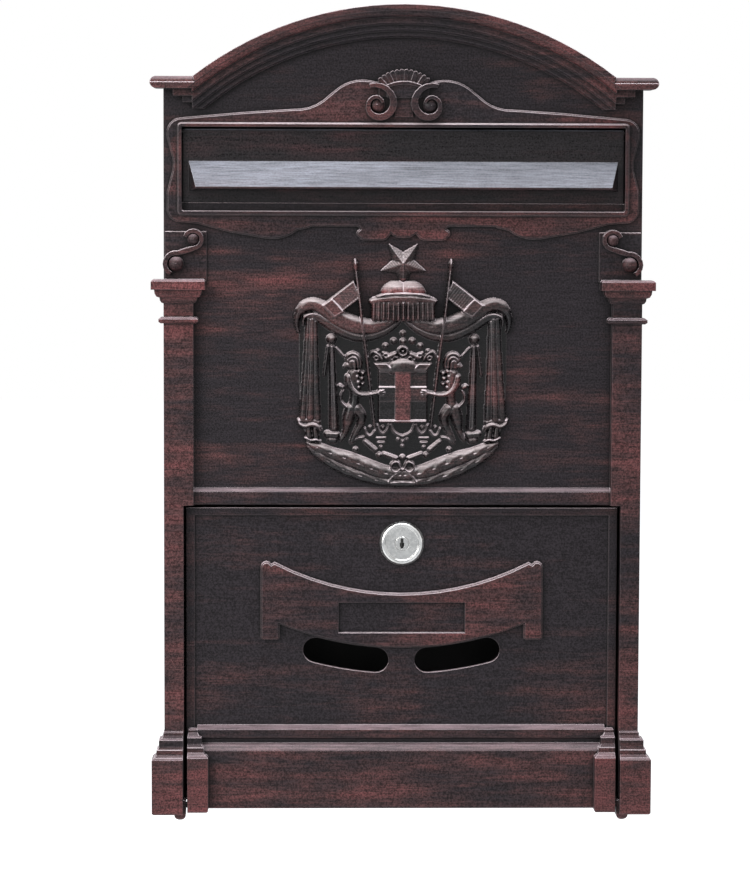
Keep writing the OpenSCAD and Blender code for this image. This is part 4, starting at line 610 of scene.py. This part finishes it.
class Relief:
    def __init__(self):
        self.xs = np.arange(-HALF_W, 0.5 * CELL, CELL)
        self.vs = np.arange(FOOT_V, HEAD_V, CELL)
        self.x, self.v = np.meshgrid(self.xs, self.vs)
        self.h = np.full(self.x.shape, 2 * SUNK)

    def window(self, x0, x1, v0, v1):
        i0, i1 = np.searchsorted(self.xs, (x0, x1))
        j0, j1 = np.searchsorted(self.vs, (v0, v1))
        return slice(max(j0 - 1, 0), j1 + 1), slice(max(i0 - 1, 0), i1 + 1)

    def raise_to(self, win, height):
        self.h[win] = np.maximum(self.h[win], height)

    def limb(self, path, flutes=0, depth=0.0, folds=0.0, fold_len=6.0, phase=0.0, flat=2.0, soft=True):
        """One limb: round across, with flutes along it or folds across it."""
        p = smooth(path) if soft else np.array(path, float)
        if len(p) == 1:
            p = np.vstack([p, p + (0.001, 0, 0, 0)])
        run = 0.0
        for a, b in zip(p[:-1], p[1:]):
            wide = max(a[2], b[2]) + 0.7
            low, top = np.minimum(a, b) - wide, np.maximum(a, b) + wide
            win = self.window(low[0], top[0], low[1], top[1])
            x, v = self.x[win], self.v[win]
            if x.size == 0:
                continue
            d = b[:2] - a[:2]
            length = math.hypot(*d)
            t = np.clip(((x - a[0]) * d[0] + (v - a[1]) * d[1]) / (length * length), 0, 1)
            off_x, off_v = x - a[0] - t * d[0], v - a[1] - t * d[1]
            dist = np.hypot(off_x, off_v)
            w, z = a[2] + (b[2] - a[2]) * t, a[3] + (b[3] - a[3]) * t
            q = dist / w
            top = z * np.clip(1 - np.clip(q, 0, 1) ** flat, 0, 1) ** 0.5
            if flutes:
                side = np.sign(d[0] * off_v - d[1] * off_x) * q
                top = top - depth * (0.5 - 0.5 * np.cos(math.pi * flutes * (side + 1))) * (q < 1)
            if folds:
                side = np.sign(d[0] * off_v - d[1] * off_x) * q
                wave = np.sin(2 * math.pi * ((run + t * length) / fold_len + 0.35 * side) + phase)
                top = top + folds * wave * np.clip(1.15 - q, 0, 1)
            self.raise_to(win, np.where(q < 1, top, np.maximum(-(dist - w) * 4.0, 2 * SUNK)))
            run += length

    def pane(self, corners, ribs=0, rim=0.0):
        """A flat sheet between its corners, with a raised rim and faint ribs."""
        p = np.array(corners, float)
        win = self.window(p[:, 0].min() - 1, p[:, 0].max() + 1, p[:, 1].min() - 1, p[:, 1].max() + 1)
        x, v = self.x[win], self.v[win]
        co = np.linalg.lstsq(np.c_[p[:, :2], np.ones(len(p))], p[:, 3], rcond=None)[0]
        turn = np.sign(sum(a[0] * b[1] - b[0] * a[1] for a, b in zip(p, np.roll(p, -1, 0))))
        inner = np.full(x.shape, 1e3)
        for a, b in zip(p, np.roll(p, -1, 0)):
            e = b[:2] - a[:2]
            inner = np.minimum(inner, turn * (e[0] * (v - a[1]) - e[1] * (x - a[0])) / math.hypot(*e))
        top = co[0] * x + co[1] * v + co[2]
        if rim:
            top = top + rim * np.clip(1 - np.abs(inner - 0.35) / 0.45, 0, 1)
        if ribs:
            e = p[1, :2] - p[0, :2]
            along = ((x - p[0, 0]) * e[0] + (v - p[0, 1]) * e[1]) / math.hypot(*e)
            top = top + 0.12 * np.cos(2 * math.pi * along / ribs) * (inner > 0.8)
        self.raise_to(win, np.where(inner > 0, top, np.maximum(top + 14 * inner, 2 * SUNK)))

    def block(self, x0, x1, v0, v1, z, round_off=0.35):
        win = self.window(x0 - 1, x1 + 1, v0 - 1, v1 + 1)
        x, v = self.x[win], self.v[win]
        inner = np.minimum(np.minimum(x - x0, x1 - x), np.minimum(v - v0, v1 - v))
        top = z - round_off * np.clip(1 - inner / 0.5, 0, 1) ** 2
        self.raise_to(win, np.where(inner > 0, top, np.maximum(z - round_off + 14 * inner, 2 * SUNK)))

    def star(self, v0, radius, edge, peak):
        waist = 0.46 * radius
        for i in range(10):
            ends = []
            for k in (i, i + 1):
                r, a = (radius if k % 2 == 0 else waist), math.radians(36 * k - 90)
                ends.append((r * math.cos(a), v0 + r * math.sin(a), edge))
            tri = np.array([(0.0, v0, peak)] + ends)
            if tri[:, 0].min() > 0.01:
                continue
            co = np.linalg.solve(np.c_[tri[:, :2], np.ones(3)], tri[:, 2])
            low, top = tri[:, :2].min(0) - 0.5, tri[:, :2].max(0) + 0.5
            win = self.window(low[0], min(top[0], 0.0), low[1], top[1])
            x, v = self.x[win], self.v[win]
            inside = np.full(x.shape, 1e3)
            for a, b in zip(tri, np.roll(tri, -1, 0)):
                e = b[:2] - a[:2]
                inside = np.minimum(inside, (e[0] * (v - a[1]) - e[1] * (x - a[0])) / math.hypot(*e))
            e = tri[2, :2] - tri[1, :2]
            across = ((x - tri[1, 0]) * e[0] + (v - tri[1, 1]) * e[1]) / math.hypot(*e)
            top = co[0] * x + co[1] * v + co[2] + 0.09 * np.cos(2 * math.pi * across / 1.15)
            self.raise_to(win, np.where(inside > -0.02, top, 2 * SUNK))


STAR = (59.1, 12.7, 1.2, 5.2)  # height of its middle, radius, rise at its edge and at its middle
PAST_MIDDLE = 1.5  # the blocks reach over the middle line, so that both halves join
BLOCKS = [  # left side, foot, head and rise
    (-12.2, -21.1, 4.9, 2.9),  # shield
    (-3.9, -21.1, 4.9, 4.9),  # upright of its cross
    (-12.2, -10.7, -3.3, 4.6),  # bar of its cross
    (-15.9, 30.9, 39.6, 6.3),  # band of the bonnet, behind its pleats
]
PLEATS = 6  # on each side of the middle one
RING = (2.2, 14.7)  # radius and height of the crown's middle ring


def draw_badge():
    r = Relief()
    web = np.array(WEB_LEFT)
    inside = np.zeros(r.x.shape, bool)
    for a, b in zip(web, np.roll(web, -1, 0)):
        crosses = (a[1] > r.v) != (b[1] > r.v)
        with np.errstate(divide="ignore", invalid="ignore"):
            inside ^= crosses & (r.x < (b[0] - a[0]) * (r.v - a[1]) / (b[1] - a[1]) + a[0])
    r.h[inside] = WEB_T
    r.star(*STAR)
    for limbs in LIMBS.values():
        for style, path in limbs:
            r.limb(path, **STYLES[style])
    for corners, ribs, rim in PANES:
        r.pane(corners, ribs, rim)
    for low_x, low, high, rise in BLOCKS:
        r.block(low_x, PAST_MIDDLE, low, high, rise)
    for i in range(-PLEATS, 1):
        z = 6.4 + 1.2 * (1 - abs(i) / PLEATS)
        r.limb([(2.47 * i, 39.2, 1.3, z + 0.7), (2.5 * i, 31.2, 1.4, z + 1.2)], soft=False)
    ring_r, ring_v = RING
    for k in range(12):
        turns = (math.radians(30 * k), math.radians(30 * k + 30))
        r.limb([(ring_r * math.cos(a), ring_v + ring_r * math.sin(a), 0.65, 3.9) for a in turns], soft=False)
    return r


STEMS = [(-40, 21), (40, 21), (-31, -26), (31, -26)]
STEM_R, STEM_FROM, STEM_TO = 1.5, 63.8, 69.6  # radius, and depths of both ends of a stem


def make_badge():
    """The relief as one closed mesh that replaces the badge's plain solid."""
    r = draw_badge()
    h = np.hstack([r.h, r.h[:, -2::-1]])
    xs = np.concatenate([r.xs, -r.xs[-2::-1]])
    kept = np.maximum(np.maximum(h[:-1, :-1], h[1:, :-1]), np.maximum(h[:-1, 1:], h[1:, 1:])) > 0.0
    count = np.zeros(h.shape, int)
    for dj in (0, 1):
        for di in (0, 1):
            count[dj:dj + kept.shape[0], di:di + kept.shape[1]] += kept
    height = np.where(count == 4, np.maximum(h, SUNK), SUNK)
    index = np.full(h.shape, -1)
    index[count > 0] = np.arange((count > 0).sum())
    jj, ii = np.nonzero(count > 0)
    verts = np.c_[xs[ii], -(PANEL_D + height[jj, ii]), r.vs[jj] + BADGE_H - MOUNT_H] * MM
    cj, ci = np.nonzero(kept)
    faces = np.c_[index[cj, ci], index[cj, ci + 1], index[cj + 1, ci + 1], index[cj + 1, ci]]
    mesh = bpy.data.meshes.new("badge_relief")
    mesh.from_pydata(verts.tolist(), [], faces.tolist())
    bm = bmesh.new()
    bm.from_mesh(mesh)
    rim = [e for e in bm.edges if e.is_boundary]
    bmesh.ops.triangle_fill(bm, use_beauty=False, use_dissolve=False, edges=rim, normal=(0.0, 1.0, 0.0))
    for x, v in STEMS:
        turn = Matrix.Rotation(math.radians(90), 4, "X")
        move = Matrix.Translation(Vector((x, -(STEM_FROM + STEM_TO) / 2, v + BADGE_H - MOUNT_H)) * MM)
        bmesh.ops.create_cone(bm, cap_ends=True, segments=20, radius1=STEM_R * MM, radius2=STEM_R * MM,
                              depth=(STEM_TO - STEM_FROM) * MM, matrix=move @ turn)
    bmesh.ops.recalc_face_normals(bm, faces=bm.faces)
    bm.to_mesh(mesh)
    bm.free()
    for p in mesh.polygons:
        p.use_smooth = p.normal.y < 0.5 and p.area < 1e-6
    obj = bpy.data.objects.new("badge_relief", mesh)
    bpy.context.scene.collection.objects.link(obj)
    obj.data.materials.append(FINISH["badge"])
    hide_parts("crest")
    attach(obj, "root")


FLOOR_Z = -0.42  # under the open door


def make_world():
    """White to the camera and to mirrors, a plain soft sky as a light."""
    world = bpy.data.worlds.new("room")
    bpy.context.scene.world = world
    world.use_nodes = True
    g = Graph(world.node_tree)
    out = g.node("ShaderNodeOutputWorld")
    path = g.node("ShaderNodeLightPath")
    seen = g.math("ADD", path.outputs["Is Camera Ray"], path.outputs["Is Glossy Ray"])
    seen = g.math("ADD", seen, path.outputs["Is Transmission Ray"], clamp=True)
    way = g.node("ShaderNodeTexCoord").outputs["Generated"]
    up = g.node("ShaderNodeSeparateXYZ", None, Vector=way).outputs["Z"]
    sky = g.mix(g.ramp(up, -0.4, 0.9), rgb(0.34, 0.34, 0.35), rgb(0.62, 0.64, 0.67))
    back = g.node("ShaderNodeBackground", None, Strength=1.0, Color=g.mix(seen, sky, rgb(1.0, 1.0, 1.0)))
    world.node_tree.links.new(back.outputs[0], out.inputs[0])


def make_floor():
    bpy.ops.mesh.primitive_plane_add(size=12.0, location=(0.0, 0.0, FLOOR_Z))
    floor = bpy.context.object
    floor.name = "floor"
    mat = bpy.data.materials.new("floor")
    mat.use_nodes = True
    g = Graph(mat.node_tree)
    out = g.node("ShaderNodeOutputMaterial")
    diffuse = g.node("ShaderNodeBsdfDiffuse", None, Color=rgb(0.86, 0.86, 0.85))
    path = g.node("ShaderNodeLightPath")
    lift = g.math("MULTIPLY", path.outputs["Is Camera Ray"], 0.55)
    glow = g.node("ShaderNodeEmission", None, Color=rgb(1.0, 1.0, 1.0), Strength=lift)
    add = g.node("ShaderNodeAddShader")
    mat.node_tree.links.new(diffuse.outputs[0], add.inputs[0])
    mat.node_tree.links.new(glow.outputs[0], add.inputs[1])
    mat.node_tree.links.new(add.outputs[0], out.inputs[0])
    floor.data.materials.append(mat)


def soft_box(name, place, aim, size, power, tint):
    light = bpy.data.lights.new(name, "AREA")
    light.shape = "RECTANGLE"
    light.size, light.size_y = size
    light.energy = power
    light.color = tint
    obj = bpy.data.objects.new(name, light)
    bpy.context.scene.collection.objects.link(obj)
    obj.location = place
    obj.rotation_euler = (Vector(aim) - Vector(place)).to_track_quat("-Z", "Y").to_euler()


bpy.context.scene.view_settings.view_transform = "Standard"
make_camera()
dress()
make_badge()
make_world()
make_floor()
soft_box("sky_box", (0.0, -0.55, 1.45), (0.0, -0.03, 0.0), (1.3, 0.4), 19.0, (0.95, 0.97, 1.0))
soft_box("left_fill", (-0.62, -0.66, 0.32), (0.0, -0.07, 0.0), (0.45, 0.7), 6.5, (1.0, 0.985, 0.97))
